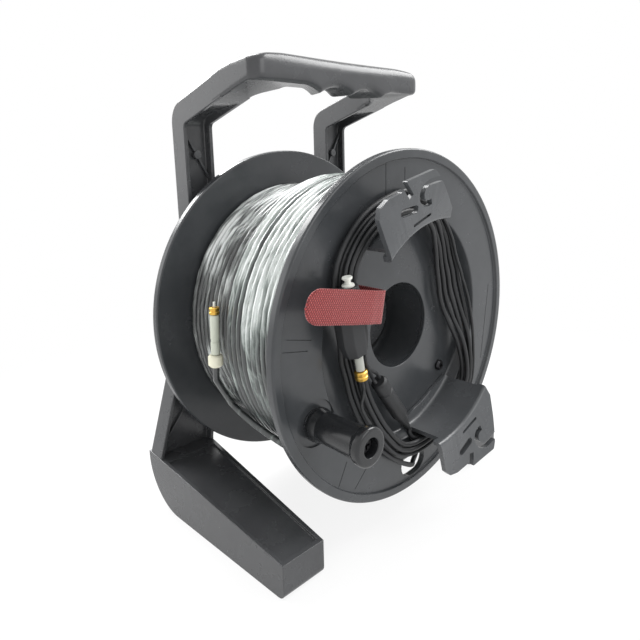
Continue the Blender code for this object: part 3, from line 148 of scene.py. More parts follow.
def mapped(add, value, start, end, to_start, to_end, kind="SMOOTHSTEP"):
    """Value mapped from one range to another, along a smooth step unless another kind is named."""
    ranges = {"From Min": start, "From Max": end, "To Min": to_start, "To Max": to_end}
    return add("MapRange", {"Value": value, **ranges}, interpolation_type=kind)["Result"]


def ramp(add, source, *stops):
    """Colour ramp through (place, colour) stops, fed by a value."""
    colour = add("ValToRGB", {"Fac": source})["Color"]
    bars = colour.node.color_ramp.elements
    while len(bars) < len(stops):
        bars.new(0.5)
    for bar, (place, shade) in zip(bars, stops):
        bar.position = place
        bar.color = (*shade, 1.0)
    return colour


def level(value):
    return value, value, value


def moulded_plastic(name, low, high, gloss, grain_mm, depth):
    """Moulded plastic: cloudy colour, uneven gloss and an eroded grain of a given size."""
    material, shader, add = new_finish(name)
    cloud = noise(add, object_place(add), 38.0, 5.0, 0.6)
    grain = noise(add, object_place(add), 1.0 / (grain_mm * MM), 3.0, 0.55)
    feed(shader, {"Base Color": ramp(add, cloud, (0.3, low), (0.72, high)),
                  "Roughness": ramp(add, cloud, (0.25, level(gloss - 0.05)), (0.75, level(gloss + 0.06))),
                  "Normal": bumped(add, grain, depth, 0.2 * MM), "IOR": 1.5})
    return material


stand_plastic = moulded_plastic("stand_plastic", (0.046, 0.047, 0.05), (0.058, 0.06, 0.063), 0.26, 0.9, 0.2)
drum_plastic = moulded_plastic("drum_plastic", (0.036, 0.039, 0.042), (0.048, 0.051, 0.055), 0.24, 0.7, 0.14)
hook_plastic = moulded_plastic("hook_plastic", (0.064, 0.068, 0.072), (0.08, 0.084, 0.089), 0.26, 0.7, 0.14)
crank_plastic = moulded_plastic("crank_plastic", (0.012, 0.013, 0.014), (0.02, 0.021, 0.023), 0.2, 1.4, 0.06)
lead_jacket = moulded_plastic("lead_jacket", (0.009, 0.01, 0.011), (0.018, 0.019, 0.021), 0.5, 0.5, 0.2)
white_plastic = moulded_plastic("white_plastic", (0.72, 0.74, 0.68), (0.82, 0.83, 0.78), 0.34, 0.8, 0.08)
cream_plastic = moulded_plastic("cream_plastic", (0.76, 0.74, 0.56), (0.84, 0.82, 0.67), 0.36, 0.8, 0.1)
sleeve_plastic = moulded_plastic("sleeve_plastic", (0.5, 0.53, 0.44), (0.64, 0.67, 0.57), 0.3, 0.8, 0.08)
ferrule_plastic = moulded_plastic("ferrule_plastic", (0.3, 0.31, 0.28), (0.42, 0.43, 0.39), 0.34, 0.8, 0.08)
bearing_plastic = moulded_plastic("bearing_plastic", (0.62, 0.6, 0.55), (0.72, 0.7, 0.65), 0.42, 0.9, 0.1)
print("ten plastics made")

# %% [markdown]
# ## Metal, film and fabric
# Zinc-plated steel and the gilt collars are metals with a turned, uneven gloss. The cable wears a clear film: it
# could be a second, see-through skin, but a glossy jacket whose colour runs from silvery to dark in long streaks
# round the drum gives the same look with half the surfaces. Its upper left side also gets a painted highlight: a
# paler colour where a lamp's shine falls. The streaks need the angle round the drum's axis, and that comes from the
# Object coordinates with one arctangent.


# %% Metals
def plated_metal(name, low, high, gloss):
    """Plated metal with blotches in its colour and gloss."""
    material, shader, add = new_finish(name)
    blotch = noise(add, object_place(add), 220.0, 4.0)
    feed(shader, {"Base Color": ramp(add, blotch, (0.3, low), (0.7, high)), "Metallic": 1.0,
                  "Roughness": ramp(add, blotch, (0.3, level(gloss)), (0.8, level(gloss + 0.15)))})
    return material


zinc_steel = plated_metal("zinc_steel", (0.42, 0.43, 0.45), (0.6, 0.61, 0.63), 0.24)
dark_steel = plated_metal("dark_steel", (0.03, 0.03, 0.033), (0.06, 0.06, 0.064), 0.34)
gold_collar = plated_metal("gold_collar", (0.72, 0.42, 0.07), (0.86, 0.56, 0.14), 0.26)
print("three metals made")


# %% Cable film and cable jacket
FILM_WANDER = 0.02
# Side of the winding that gets a painted highlight: up and to the left of the axis.
PAINTED_HIGHLIGHT_SIDE = (-0.6, 0.0, 0.8)


def round_the_drum(add, turns_scale, across_scale, wander=0.0):
    """Coordinates along the turns: angle round the axis, and place across the drum, which may wander."""
    spot = add("SeparateXYZ", {"Vector": object_place(add)})
    angle = calc(add, "ARCTAN2", calc(add, "SUBTRACT", spot["Z"], AXIS_Z), spot["X"])
    drift = noise(add, object_place(add), 22.0, 1.0)
    ring = add("CombineXYZ", {"X": calc(add, "COSINE", angle), "Y": calc(add, "SINE", angle),
                              "Z": calc(add, "MULTIPLY_ADD", drift, wander, spot["Y"])})
    scaled = add("Mapping", {"Vector": ring["Vector"], "Scale": (turns_scale, turns_scale, across_scale)})
    return scaled["Vector"], spot["Y"]


def blend_of(add, first, second, share):
    """Weighted mean of two values, with a share of the second."""
    return add("Mix", {"A": first, "B": second, "Factor": share})["Result"]


def film_parting(add, across):
    """Darkening along one wandering line round the drum, where the film's edges part."""
    sway = noise(add, object_place(add), 12.0, 0.0)
    place = calc(add, "MULTIPLY_ADD", sway, FILM_WANDER, across)
    gap = calc(add, "ABSOLUTE", calc(add, "SUBTRACT", place, FRONT_Y + 61.5 * MM))
    return mapped(add, gap, 0.8 * MM, 3 * MM, -0.14, 0.0)


def film_cable(name):
    """Clear film over dark cable: streaked along the turns, barer at the rear, with a painted highlight on its upper
    left side.
    """
    material, shader, add = new_finish(name)
    values = []
    for turns_scale, across_scale, detail in ((1.1, 26.0, 3.0), (2.4, 260.0, 6.0), (3.2, 1100.0, 4.0)):
        along, across = round_the_drum(add, turns_scale, across_scale, FILM_WANDER)
        values.append(noise(add, along, 1.0, detail, 0.6))
    patch, streak, fine = values
    # Painted highlight: turns on the upper left side are pushed towards the ramps' pale ends, where a lamp's shine
    # falls.
    side = add("VectorMath", {0: object_place(add), 1: PAINTED_HIGHLIGHT_SIDE}, operation="DOT_PRODUCT")["Value"]
    axis_side = PAINTED_HIGHLIGHT_SIDE[2] * AXIS_Z
    painted_highlight = mapped(add, side, axis_side + 58 * MM, axis_side + 96 * MM, -0.032, 0.065)
    plain = blend_of(add, blend_of(add, streak, fine, 0.32), patch, 0.36)
    mottle_and_highlight = calc(add, "ADD", calc(add, "ADD", plain, painted_highlight), film_parting(add, across))
    film = ramp(add, mottle_and_highlight, (0.43, (0.035, 0.04, 0.04)), (0.485, (0.14, 0.165, 0.155)),
                (0.535, (0.32, 0.36, 0.34)), (0.6, (0.8, 0.84, 0.82)))
    bare = ramp(add, mottle_and_highlight, (0.44, (0.02, 0.022, 0.023)), (0.5, (0.1, 0.108, 0.105)),
                (0.545, (0.36, 0.385, 0.375)), (0.6, (0.84, 0.87, 0.86)))
    rear = mapped(add, across, FRONT_Y + 66 * MM, FRONT_Y + 74 * MM, 0.0, 1.0, "LINEAR")
    colour = add("Mix", {"Factor": rear, "A": film, "B": bare}, data_type="RGBA")["Result"]
    crease = noise(add, round_the_drum(add, 9.0, 900.0)[0], 1.0, 4.0)
    feed(shader, {"Base Color": colour, "Roughness": ramp(add, mottle_and_highlight, (0.42, level(0.3)), (0.58, level(0.16))),
                  "Normal": bumped(add, crease, 0.6, 0.6 * MM), "Coat Weight": 1.0, "Coat Roughness": 0.2})
    return material


cable_film = film_cable("cable_film")
cable_jacket = moulded_plastic("cable_jacket", (0.05, 0.053, 0.054), (0.1, 0.105, 0.105), 0.36, 0.9, 0.2)
print("film and jacket made")


# %% Hook-and-loop fabric
def hook_and_loop(name):
    """Red strap: slanting rows of tiny loops on the piece's own UV map, measured in metres."""
    material, shader, add = new_finish(name)
    cloth = add("UVMap", {})["UV"]
    rows = []
    for turn in (34, -34):
        slanted = add("Mapping", {"Vector": cloth, "Rotation": (0, 0, math.radians(turn))})["Vector"]
        wave = add("TexWave", {"Vector": slanted, "Scale": 245.0, "Distortion": 0.5, "Detail": 2.0})
        rows.append(wave["Fac"])
    pile = calc(add, "MULTIPLY", calc(add, "MINIMUM", *rows), noise(add, cloth, 900.0, 4.0))
    reds = ((0.03, (0.13, 0.011, 0.013)), (0.2, (0.28, 0.032, 0.033)), (0.45, (0.43, 0.064, 0.061)))
    feed(shader, {"Base Color": ramp(add, pile, *reds), "Normal": bumped(add, pile, 0.9, 0.6 * MM),
                  "Roughness": 0.85, "Sheen Weight": 0.2, "Sheen Roughness": 0.5})
    return material


strap_fabric = hook_and_loop("strap_fabric")
print("strap fabric made")

# %% [markdown]
# ## The wound cable
# On the real drum the cable lies turn beside turn in about three layers. A spiral could come from the Screw
# modifier, but a curve through worked-out points also holds the loose end: from the end connector it crosses the
# turns, drops to the barrel's front end and then winds to the rear. The curve's own round bevel gives the jacket.


def polar(radius, angle):
    return radius * math.cos(angle), radius * math.sin(angle)


def smooth_step(t):
    t = min(max(t, 0.0), 1.0)
    return t * t * (3 - 2 * t)


def smooth_route(points, steps):
    """Points of a smooth curve through the given ones."""
    ends = [2 * points[0] - points[1], *points, 2 * points[-1] - points[-2]]
    route = []
    for p, q, r, s in zip(ends, ends[1:], ends[2:], ends[3:]):
        for i in range(steps):
            t = i / steps
            bend = (2 * p - 5 * q + 4 * r - s) * t * t + (3 * q - p - 3 * r + s) * t ** 3
            route.append((2 * q + (r - p) * t + bend) / 2)
    return route + [points[-1]]


def route_length(route):
    return sum((far - near).length for near, far in zip(route, route[1:]))


def cord_curve(name, route, diameter, material, node):
    """Round cord along a route drawn from the drum's axis; it turns with the drum."""
    curve = bpy.data.curves.new(name, "CURVE")
    curve.dimensions = "3D"
    curve.bevel_depth = diameter / 2
    curve.bevel_resolution = 3
    curve.use_fill_caps = True
    curve.materials.append(material)
    spline = curve.splines.new("POLY")
    spline.points.add(len(route) - 1)
    for point, target in zip(spline.points, route):
        point.co = (*(TO_AXIS @ target), 1.0)
    cord = placed(name, curve)
    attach(cord, "drum")
    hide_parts(node)
    return cord


# %% Cable winding
GAP, TURN_GAP = mm(0.3, 0.5)
RIM_T, WINDING_W = mm(6, 115.8)
REAR_A = RIM_T + WINDING_W
CABLE_D, CABLE_TURNS, WINDING_R, LOOP_POINTS = 4.3 * MM, 23, 91 * MM, 48
LAYER_RISE, LAYER_L = mm(8, 63)
END_A, END_ANGLE, END_SLEEVE_L, END_NUT_L = 77 * MM, math.radians(178), 26 * MM, 8 * MM
END_NUT_R, END_LIFT = mm(4.8, 3.9)
END_AXIS_R = WINDING_R + CABLE_D / 2 + END_LIFT + END_NUT_R
CROSS_START, CROSS_END, RAMP_END = [END_ANGLE + math.radians(turn) for turn in (24, 62, 92)]


def winding_route():
    """From the end connector across the turns to the front flange, then turn by turn to the rear."""
    first_a, last_a = RIM_T + CABLE_D / 2 + 2 * GAP, REAR_A - CABLE_D / 2 - 2 * GAP
    pitch = (last_a - first_a) / CABLE_TURNS
    front_r = WINDING_R + LAYER_RISE
    top_r = front_r + CABLE_D + TURN_GAP * 1.6
    start, aim = polar(END_AXIS_R, END_ANGLE), polar(1, END_ANGLE + math.pi / 2)
    lead_in = END_SLEEVE_L / 2 + END_NUT_L + 2 * GAP
    route = []
    for run in (lead_in, lead_in + CABLE_D, lead_in + 2 * CABLE_D):
        route.append(Vector((start[0] + aim[0] * run, END_A, start[1] + aim[1] * run)))
    for i in range(1, 11):
        x, z = polar(top_r, CROSS_START + (CROSS_END - CROSS_START) * i / 10)
        route.append(Vector((x, END_A + (first_a - END_A) * smooth_step(i / 10), z)))
    for i in range(1, 6):
        radius = top_r + (front_r - top_r) * smooth_step(i / 6)
        x, z = polar(radius, CROSS_END + (RAMP_END - CROSS_END) * i / 6)
        route.append(Vector((x, first_a, z)))
    for i in range(CABLE_TURNS * LOOP_POINTS + 1):
        along = first_a + pitch * i / LOOP_POINTS
        radius = front_r - LAYER_RISE * smooth_step((along - RIM_T - LAYER_L) / (pitch / 6))
        x, z = polar(radius, RAMP_END + math.tau * i / LOOP_POINTS)
        route.append(Vector((x, along, z)))
    end_angle = RAMP_END + math.tau * CABLE_TURNS
    route.append(route[-1] + Vector((-math.sin(end_angle), 0, math.cos(end_angle))) * CABLE_D)
    return route


cable_route = winding_route()
wound_cable = cord_curve("wound_cable", cable_route, CABLE_D, cable_film, "cable_winding")
print("outer layer of cable:", round(route_length(cable_route), 2), "m")

# %% [markdown]
# ## The stored lead
# A thinner lead comes through the hole in the front flange, runs five times round the two hooks and ends in a
# fan-out sleeve. Two thin tails leave the sleeve for the connector under the red strap. Each cord keeps to the
# CAD route, with more points so that its bends are smooth.

# %% Lead and tails
LEAD_D, LEAD_TURNS, TAIL_D, TAIL_RISE = 3.4 * MM, 5, 2.2 * MM, 7.4 * MM
HOOK_ANGLE, HOOK_SPAN_SHORT, HOOK_SPAN_LONG = math.radians(111), math.radians(17), math.radians(25)
HOOK_WALL_R, HOOK_BACK_R, LEAD_R = mm(74.5, 77.5, 80.8)
LEAD_LEFT_R, LEAD_RIGHT_R, LEAD_SPREAD = mm(50, 38, 6.2)
LEAD_PITCH, LEAD_A, LEAD_SAG = LEAD_D + TURN_GAP, -2.2 * MM, 6.2 * MM
CABLE_HOLE_R, CABLE_HOLE_ANGLE = 100.5 * MM, math.radians(-86.5)
FAN_OUT_TOP, FAN_OUT_AIM = polar(43.3 * MM, math.radians(219.4)), math.radians(-54)
FAN_OUT_L, FAN_OUT_R, BOOT_L = mm(37, 5.4, 14)
HOUSING_TOP, HOUSING_AIM = polar(83.8 * MM, math.radians(149.4)), math.radians(-79.9)
HOUSING_L, HOUSING_W, HOUSING_H, HOUSING_UP = mm(41.5, 20, 9, 12.4)
TUBE_L, COLLAR_L = mm(10, 5.5)

# How the lead lies, by degrees round the drum: drawn in, sagging into the dish, spread out flat, and how wide
LEAD_DRAWN_IN = {-36: 0, -25: 0.41, -10: 0.75, 5: 0.93, 20: 1, 35: 0.95, 50: 0.82, 65: 0.6, 80: 0.3, 95: 0,
                 134: 0, 140: 0.08, 155: 0.45, 170: 0.79, 185: 0.95, 200: 1, 215: 0.9, 230: 0.72, 245: 0.42,
                 260: 0.05, 268: 0, 320: 0}
LEAD_SAGGING = {-40: 0, -25: 0.4, -10: 0.8, 5: 1, 50: 1, 65: 0.5, 80: 0, 155: 0, 165: 0.1, 185: 1, 215: 1,
                230: 0.7, 245: 0.2, 260: 0, 320: 0}
LEAD_FLAT = {-36: 0, -25: 0.5, -10: 1, 65: 1, 80: 0.5, 95: 0, 320: 0}
LEAD_LEVEL = {-25: 0, -10: 1, 65: 1, 80: 0, 335: 0}
LEAD_SPACING = {-25: 0.8, -10: 0.9, 5: 1, 20: 1, 35: 0.97, 50: 0.84, 65: 0.71, 80: 0.71, 200: 0.75}
SLOT_COLUMN, SLOT_LAYER = (0, 0, 1, 1, 2, 3), (0, 1, 0, 1, 0, 0)


def on_table(table, degrees):
    """Value of a table at an angle, averaged over a few degrees so that the strands bend smoothly."""
    places = [degrees + turn for turn in (-6, -3, 0, 3, 6)]
    return float(np.interp(places, list(table), list(table.values()), period=360).mean())


def lead_line(degrees):
    """Point of the innermost strand, seen from the front."""
    side_r = LEAD_RIGHT_R if -90 <= math.remainder(degrees, 360) <= 100 else LEAD_LEFT_R
    radius = LEAD_R - (LEAD_R - side_r) * on_table(LEAD_DRAWN_IN, degrees)
    return Vector(polar(radius, math.radians(degrees)))


def lead_place(degrees, column, layer, order):
    """Place of a strand: in its column and layer at the hooks and on the left, in order on the right."""
    run = (lead_line(degrees + 6) - lead_line(degrees - 6)).normalized()
    flat = on_table(LEAD_FLAT, degrees)
    out = (1 - flat) * LEAD_PITCH * column
    out += flat * LEAD_SPREAD * on_table(LEAD_SPACING, degrees) * order
    spot = lead_line(degrees) + Vector((run.y, -run.x)) * out
    lift = LEAD_PITCH * layer * (1 - on_table(LEAD_LEVEL, degrees))
    return Vector((spot.x, LEAD_A + LEAD_SAG * on_table(LEAD_SAGGING, degrees) - lift, spot.y))


def beside(origin, aim, distance, offset, height):
    """Point at a distance along an aim in the front's plane, and offset to its left."""
    along, across = polar(distance, aim), polar(offset, aim + math.pi / 2)
    return Vector((origin[0] + along[0] + across[0], height, origin[1] + along[1] + across[1]))


def lead_route():
    """From the boot, out past the lower hook, round both hooks turn by turn and in through the cable hole."""
    start = FAN_OUT_L + 2 * GAP + BOOT_L
    route = [beside(FAN_OUT_TOP, FAN_OUT_AIM, run, 0, 0) for run in (start, start + LEAD_D)]
    hook_end = math.degrees(HOOK_ANGLE - HOOK_SPAN_SHORT) - 180
    for back, radius, drop in ((5.0, HOOK_WALL_R + LEAD_D * 0.4, 0.25), (3.0, LEAD_R - LEAD_D * 0.4, 0.7)):
        x, z = polar(radius, math.radians(hook_end - back))
        route.append(Vector((x, LEAD_A * drop, z)))
    first = hook_end + 1
    last = math.degrees(CABLE_HOLE_ANGLE) + 360 * LEAD_TURNS - 10
    step = 360 / 24
    for i in range(math.floor((last - first) / step) + 1):
        turn, rest = divmod(step * i, 360)
        moved = smooth_step((rest + first + 25) / 105)
        slot = int(turn) + (moved > 0.5)
        route.append(lead_place(first + step * i, SLOT_COLUMN[slot], SLOT_LAYER[slot], turn + moved))
    for turn, along in ((-3, 0.0), (0, RIM_T * 0.35), (2.6, RIM_T * 0.7), (5.0, RIM_T)):
        x, z = polar(CABLE_HOLE_R, CABLE_HOLE_ANGLE + math.radians(turn))
        route.append(Vector((x, along, z)))
    return route


def tail_loop_route():
    """From the fan-out's top, over the coil, once round both hooks on top of it, up to the connector."""
    route = [beside(FAN_OUT_TOP, FAN_OUT_AIM, run, TAIL_D, 0) for run in (-GAP, -GAP - 2 * TAIL_D)]
    over = Vector((0, -TAIL_RISE, 0))
    route += [lead_place(200, -1, 0, 0) + over, lead_place(186, 1, 0, 0) + over]
    for degrees in range(170, -116, -15):
        lowered = Vector((0, LEAD_PITCH * on_table(LEAD_LEVEL, degrees), 0))
        route.append(lead_place(degrees, 2, 1, 4.4) - lowered)
    route.append(lead_place(-140, 3, 2, 0))
    collar_end = HOUSING_L + TUBE_L + COLLAR_L + 3 * GAP
    for run in (collar_end + 4 * TAIL_D, collar_end + TAIL_D, collar_end):
        route.append(beside(HOUSING_TOP, HOUSING_AIM, run, 0, -HOUSING_UP))
    return route


def tail_short_route():
    """From the fan-out's top straight to the connector's housing."""
    points = [beside(FAN_OUT_TOP, FAN_OUT_AIM, run, -TAIL_D, 0) for run in (-GAP, -GAP - 3 * TAIL_D)]
    for run in (4 * TAIL_D, TAIL_D, 0):
        points.append(beside(HOUSING_TOP, HOUSING_AIM, HOUSING_L + GAP + run, HOUSING_W * 0.28, -HOUSING_UP))
    return points


lead_points, loop_points = smooth_route(lead_route(), 4), smooth_route(tail_loop_route(), 4)
short_points = smooth_route(tail_short_route(), 6)
lead_coil = cord_curve("stored_lead", lead_points, LEAD_D, lead_jacket, "lead_coil")
tail_loop = cord_curve("long_tail", loop_points, TAIL_D, lead_jacket, "lead_tail_loop")
tail_short = cord_curve("short_tail", short_points, TAIL_D, lead_jacket, "lead_tail_short")
for word, route in (("lead", lead_points), ("long tail", loop_points), ("short tail", short_points)):
    print(word, round(route_length(route), 3), "m")

# %% [markdown]
# ## How the solid pieces are made
# Most mouldings here are a profile turned about an axis or an outline pulled along a path. Both start from a few
# points and one operator: spin for the turned ones, extrude for the others. Corners are eased in the profile
# itself, because a rounded outline keeps clean quads where a bevel on a finished part may tangle.


# %% Helpers for turned and extruded pieces
WELD = 0.002 * MM


def eased(corners, steps=4):
    """Outline through (x, y, radius in mm) corners, with each corner rounded to its radius."""
    outline = []
    count = len(corners)
    for i, (x, y, radius) in enumerate(corners):
        here = Vector((x, y))
        to_last = Vector(corners[i - 1][:2]) - here
        to_next = Vector(corners[(i + 1) % count][:2]) - here
        if radius <= 0 or to_last.length < 1e-9 or to_next.length < 1e-9:
            outline.append((x, y))
            continue
        opening = to_last.angle(to_next)
        set_back = min(radius * MM / math.tan(opening / 2), to_last.length * 0.49, to_next.length * 0.49)
        start, end = here + to_last.normalized() * set_back, here + to_next.normalized() * set_back
        for k in range(steps + 1):
            t = k / steps
            outline.append(tuple(start * (1 - t) ** 2 + here * 2 * t * (1 - t) + end * t * t))
    return outline


def stroke(points, width):
    """Outline of a line of even width through the points."""
    sides = ([], [])
    for i, point in enumerate(points):
        before, after = points[max(i - 1, 0)], points[min(i + 1, len(points) - 1)]
        run = Vector((after[0] - before[0], after[1] - before[1])).normalized() * width / 2
        sides[0].append((point[0] - run.y, point[1] + run.x))
        sides[1].append((point[0] + run.y, point[1] - run.x))
    return sides[0] + sides[1][::-1]


def verts_of(geometry):
    return [item for item in geometry if isinstance(item, bmesh.types.BMVert)]


def turned(profile, steps=96, closed=True, bm=None):
    """Spin a profile of (radius, a) points about the drum's axis, in a new bmesh or one that is given."""
    bm = bm or bmesh.new()
    points = [bm.verts.new((radius, along, 0)) for radius, along in profile]
    edges = [bm.edges.new(pair) for pair in zip(points, points[1:])]
    if closed:
        edges.append(bm.edges.new((points[-1], points[0])))
    bmesh.ops.spin(bm, geom=points + edges, axis=(0, 1, 0), cent=(0, 0, 0), angle=math.tau, steps=steps,
                   use_merge=True)
    bmesh.ops.remove_doubles(bm, verts=bm.verts, dist=WELD)
    return bm


def turned_solid(corners, steps, bm=None):
    """Turned piece with rounded corners that is closed on its own axis at both ends."""
    profile = eased([(0, corners[0][1], 0), *corners, (0, corners[-1][1], 0)], 3)
    return turned(profile, steps, closed=False, bm=bm)


def turned_band(inner, outer, low, high, rounding, steps, bm=None):
    """Turned ring of rectangular section, with a rounding in mm for each of its four corners."""
    corners = ((inner, low), (outer, low), (outer, high), (inner, high))
    return turned(eased([(*corner, radius) for corner, radius in zip(corners, rounding)], 2), steps, bm=bm)


def extruded(outline, low_a, high_a, bevel=0.0, bm=None):
    """Pull an outline of (x, z) points along the drum's axis, with its end edges bevelled."""
    bm = bm or bmesh.new()
    face = bm.faces.new([bm.verts.new((x, low_a, z)) for x, z in outline])
    grown = bmesh.ops.extrude_face_region(bm, geom=[face])["geom"]
    bmesh.ops.translate(bm, verts=verts_of(grown), vec=(0, high_a - low_a, 0))
    if bevel:
        far_face = next(item for item in grown if isinstance(item, bmesh.types.BMFace))
        rim = list({edge for end in (face, far_face) for edge in end.edges})
        rounded_edges(bm, rim, bevel, 2)
    return bm


def rounded_edges(bm, edges, width, segments):
    bmesh.ops.bevel(bm, geom=edges, offset=width, offset_type="OFFSET", affect="EDGES", segments=segments,
                    profile=0.5, material=-1, clamp_overlap=True)


def bevel_sharp(bm, width, angle, segments):
    """Round every edge whose faces meet at more than an angle."""
    bmesh.ops.recalc_face_normals(bm, faces=bm.faces)
    sharp = [edge for edge in bm.edges if edge.is_manifold and edge.calc_face_angle(0) > math.radians(angle)]
    rounded_edges(bm, sharp, width, segments)
    return bm


def swept(rings):
    """Extrude a closed ring of points from station to station, and close both ends."""
    bm = bmesh.new()
    verts = [bm.verts.new(point) for point in rings[0]]
    edges = [bm.edges.new(pair) for pair in zip(verts, verts[1:] + verts[:1])]
    bm.faces.new(verts)
    for ring in rings[1:]:
        grown = bmesh.ops.extrude_edge_only(bm, edges=edges)["geom"]
        fresh = set(verts_of(grown))
        follow = {}
        for vert in fresh:
            for edge in vert.link_edges:
                other = edge.other_vert(vert)
                if other not in fresh:
                    follow[other] = vert
        verts = [follow[vert] for vert in verts]
        for vert, point in zip(verts, ring):
            vert.co = point
        edges = [item for item in grown if isinstance(item, bmesh.types.BMEdge) and fresh.issuperset(item.verts)]
    bm.faces.new(verts)
    return bm


def score(bm, point, normal):
    """Cut all faces along a plane, so that they can be shaped on each side of it."""
    bmesh.ops.bisect_plane(bm, geom=bm.verts[:] + bm.edges[:] + bm.faces[:], plane_co=point, plane_no=normal,
                           dist=WELD / 2)


def carve(bm, *cutters, operation="DIFFERENCE"):
    """Cut bmesh tools out of a bmesh with exact Booleans."""
    for cutter in cutters:
        halves = []
        for part in (bm, cutter):
            bmesh.ops.recalc_face_normals(part, faces=part.faces)
            mesh = bpy.data.meshes.new("carving")
            part.to_mesh(mesh)
            halves.append(placed("carving", mesh))
        tool = halves[0].modifiers.new("carve", "BOOLEAN")
        tool.operation, tool.solver, tool.object = operation, "EXACT", halves[1]
        graph = bpy.context.evaluated_depsgraph_get()
        bm.clear()
        bm.from_mesh(halves[0].evaluated_get(graph).to_mesh())
        for half in halves:
            mesh = half.data
            bpy.data.objects.remove(half)
            bpy.data.meshes.remove(mesh)
        cutter.free()
    bmesh.ops.remove_doubles(bm, verts=bm.verts, dist=WELD)
    return bm


def keep(bm, name, material, nodes=(), body="drum", sharp=40, move=None, recalc=True):
    """Set a finished bmesh in its place as one piece that rides on a body."""
    bmesh.ops.remove_doubles(bm, verts=bm.verts, dist=WELD)
    if recalc:
        bmesh.ops.recalc_face_normals(bm, faces=bm.faces)
    place = TO_AXIS @ (move or Matrix.Identity(4))
    bm.transform(place)
    if place.determinant() < 0:
        bmesh.ops.reverse_faces(bm, faces=bm.faces)
    mesh = bpy.data.meshes.new(name)
    bm.to_mesh(mesh)
    bm.free()
    mesh.materials.append(material)
    mesh.shade_smooth()
    mesh.set_sharp_from_angle(angle=math.radians(sharp))
    piece = placed(name, mesh)
    weighted = piece.modifiers.new("even_shading", "WEIGHTED_NORMAL")
    weighted.keep_sharp = True
    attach(piece, body)
    if nodes:
        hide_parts(*nodes)
    print(name, len(mesh.polygons), "faces")
    return piece


# %% [markdown]
# ## The stand's channel posts
# Each side of the real stand is one U-shaped channel: an arm that falls back from the handle, an elbow, a
# post and a flared leg. A box with its front cut away would lose the even wall, so a U section with rounded
# corners is extruded from station to station along the side's line. Its web grows thicker towards the handle, so the
# channel runs out in a smooth ramp.

# %% Channel posts
STAND_A, CHANNEL_DEPTH, CHANNEL_WALL = mm(135.8, 16.5, 2.8)
STAND_BACK_A = STAND_A + CHANNEL_DEPTH
POST_IN, POST_OUT, LEG_TOP_Z, LEG_IN = mm(56, 79, 20, 70.5)
FOOT_OUT, FOOT_IN_FRONT, FOOT_REACH = mm(116, 84, 0)
FOOT_FRONT_H, FOOT_REAR_H, FOOT_BEAD, FOOT_RECESS = mm(23, 39, 3, 1.6)
FLOOR_Z = -AXIS_Z
ARM_TILT, ELBOW_R, ELBOW_IN_R = math.radians(17.5), 16 * MM, 4 * MM
HANDLE_A, HANDLE_TOP_Z, HANDLE_H, CHANNEL_START_A = mm(66, 175.5, 17.6, 95)
POST_WEB = 10.5 * MM
KNEE_Z, LEG_LEDGE = FLOOR_Z + FOOT_REAR_H, 0.8 * MM
SIDES = ((-1, "left"), (1, "right"))


def arm_top_z(along):
    return HANDLE_TOP_Z - math.tan(ARM_TILT) * (along - HANDLE_A)


def leg_edges(z):
    """Inner and outer x of a post or leg at a height: straight above, flared below."""
    flare = min(max((LEG_TOP_Z - z) / (LEG_TOP_Z - KNEE_Z), 0.0), 1.0)
    inner, outer = LEG_IN + LEG_LEDGE - POST_IN, FOOT_OUT - LEG_LEDGE - POST_OUT
    return POST_IN + inner * flare, POST_OUT + outer * flare


def channel_stations():
    """Back point, front point and web thickness of the channel, from the handle down to the foot."""
    across = Vector((-math.sin(ARM_TILT), -math.cos(ARM_TILT))) * CHANNEL_DEPTH
    stations = []
    for i in range(11):
        along = CHANNEL_START_A + 4 * MM * i
        back = Vector((along, arm_top_z(along)))
        web = POST_WEB + (CHANNEL_DEPTH - 0.6 * MM - POST_WEB) * (1 - smooth_step((i - 2) / 8))
        stations.append((back, back + across, web))
    corner = Vector((STAND_BACK_A, arm_top_z(STAND_BACK_A)))
    inner_corner = Vector((STAND_A, arm_top_z(STAND_A) - CHANNEL_DEPTH / math.cos(ARM_TILT)))
    half_turn = (math.pi / 2 - ARM_TILT) / 2
    for i in range(13):
        swing = math.pi / 2 - ARM_TILT - 2 * half_turn * i / 12
        pair = []
        for tip, radius in ((corner, ELBOW_R), (inner_corner, ELBOW_IN_R)):
            centre = Vector((tip.x - radius, tip.y - radius * math.tan(half_turn)))
            pair.append(centre + radius * Vector((math.cos(swing), math.sin(swing))))
        stations.append((*pair, POST_WEB))
    for z, ledge in ((LEG_TOP_Z, 0), (KNEE_Z, LEG_LEDGE), (KNEE_Z - 2 * MM, LEG_LEDGE)):
        stations.append((Vector((STAND_BACK_A - ledge, z)), Vector((STAND_A, z)), POST_WEB))
    return stations


def channel_ring(side, back, front, web):
    """U section of the channel between a back and a front point, on one side of the stand."""
    inner, outer = leg_edges(back.y)
    wall, deep = CHANNEL_WALL, CHANNEL_DEPTH
    fillet = min(1.2, (deep - web) / 2 / MM)
    section = eased([(outer, 0, 2.2), (inner, 0, 2.2), (inner, deep, 0.7), (inner + wall, deep, 0.5),
                     (inner + wall, web, fillet), (outer - wall, web, fillet), (outer - wall, deep, 0.5),
                     (outer, deep, 0.7)], 3)
    line = front - back
    return [(side * x, *(back + line * depth / deep)) for x, depth in section]


for side, word in SIDES:
    rings = [channel_ring(side, *station) for station in channel_stations()]
    keep(swept(rings), f"channel_{word}", stand_plastic, ["stand_frame"] if side < 0 else (), "stand")

# %% [markdown]
# ## Ribs inside the posts
# Thin diagonal webs stiffen each channel, with a small round boss where the mould's ejector pin stood. They are
# short strokes extruded to just under the channel's edge, and the boss is a turned peg standing on the web.

# %% Ribs
RIB_T, RIB_SINK, RIB_ROOT, RIB_BOSS_R, CARRIER_H = mm(1.6, 3.5, 0.8, 3, 30)


def rib_end(z, outside):
    """Point where a rib meets the outer or the inner wall of the channel."""
    inner, outer = leg_edges(z)
    return Vector((outer - CHANNEL_WALL + RIB_ROOT if outside else inner + CHANNEL_WALL - RIB_ROOT, z))


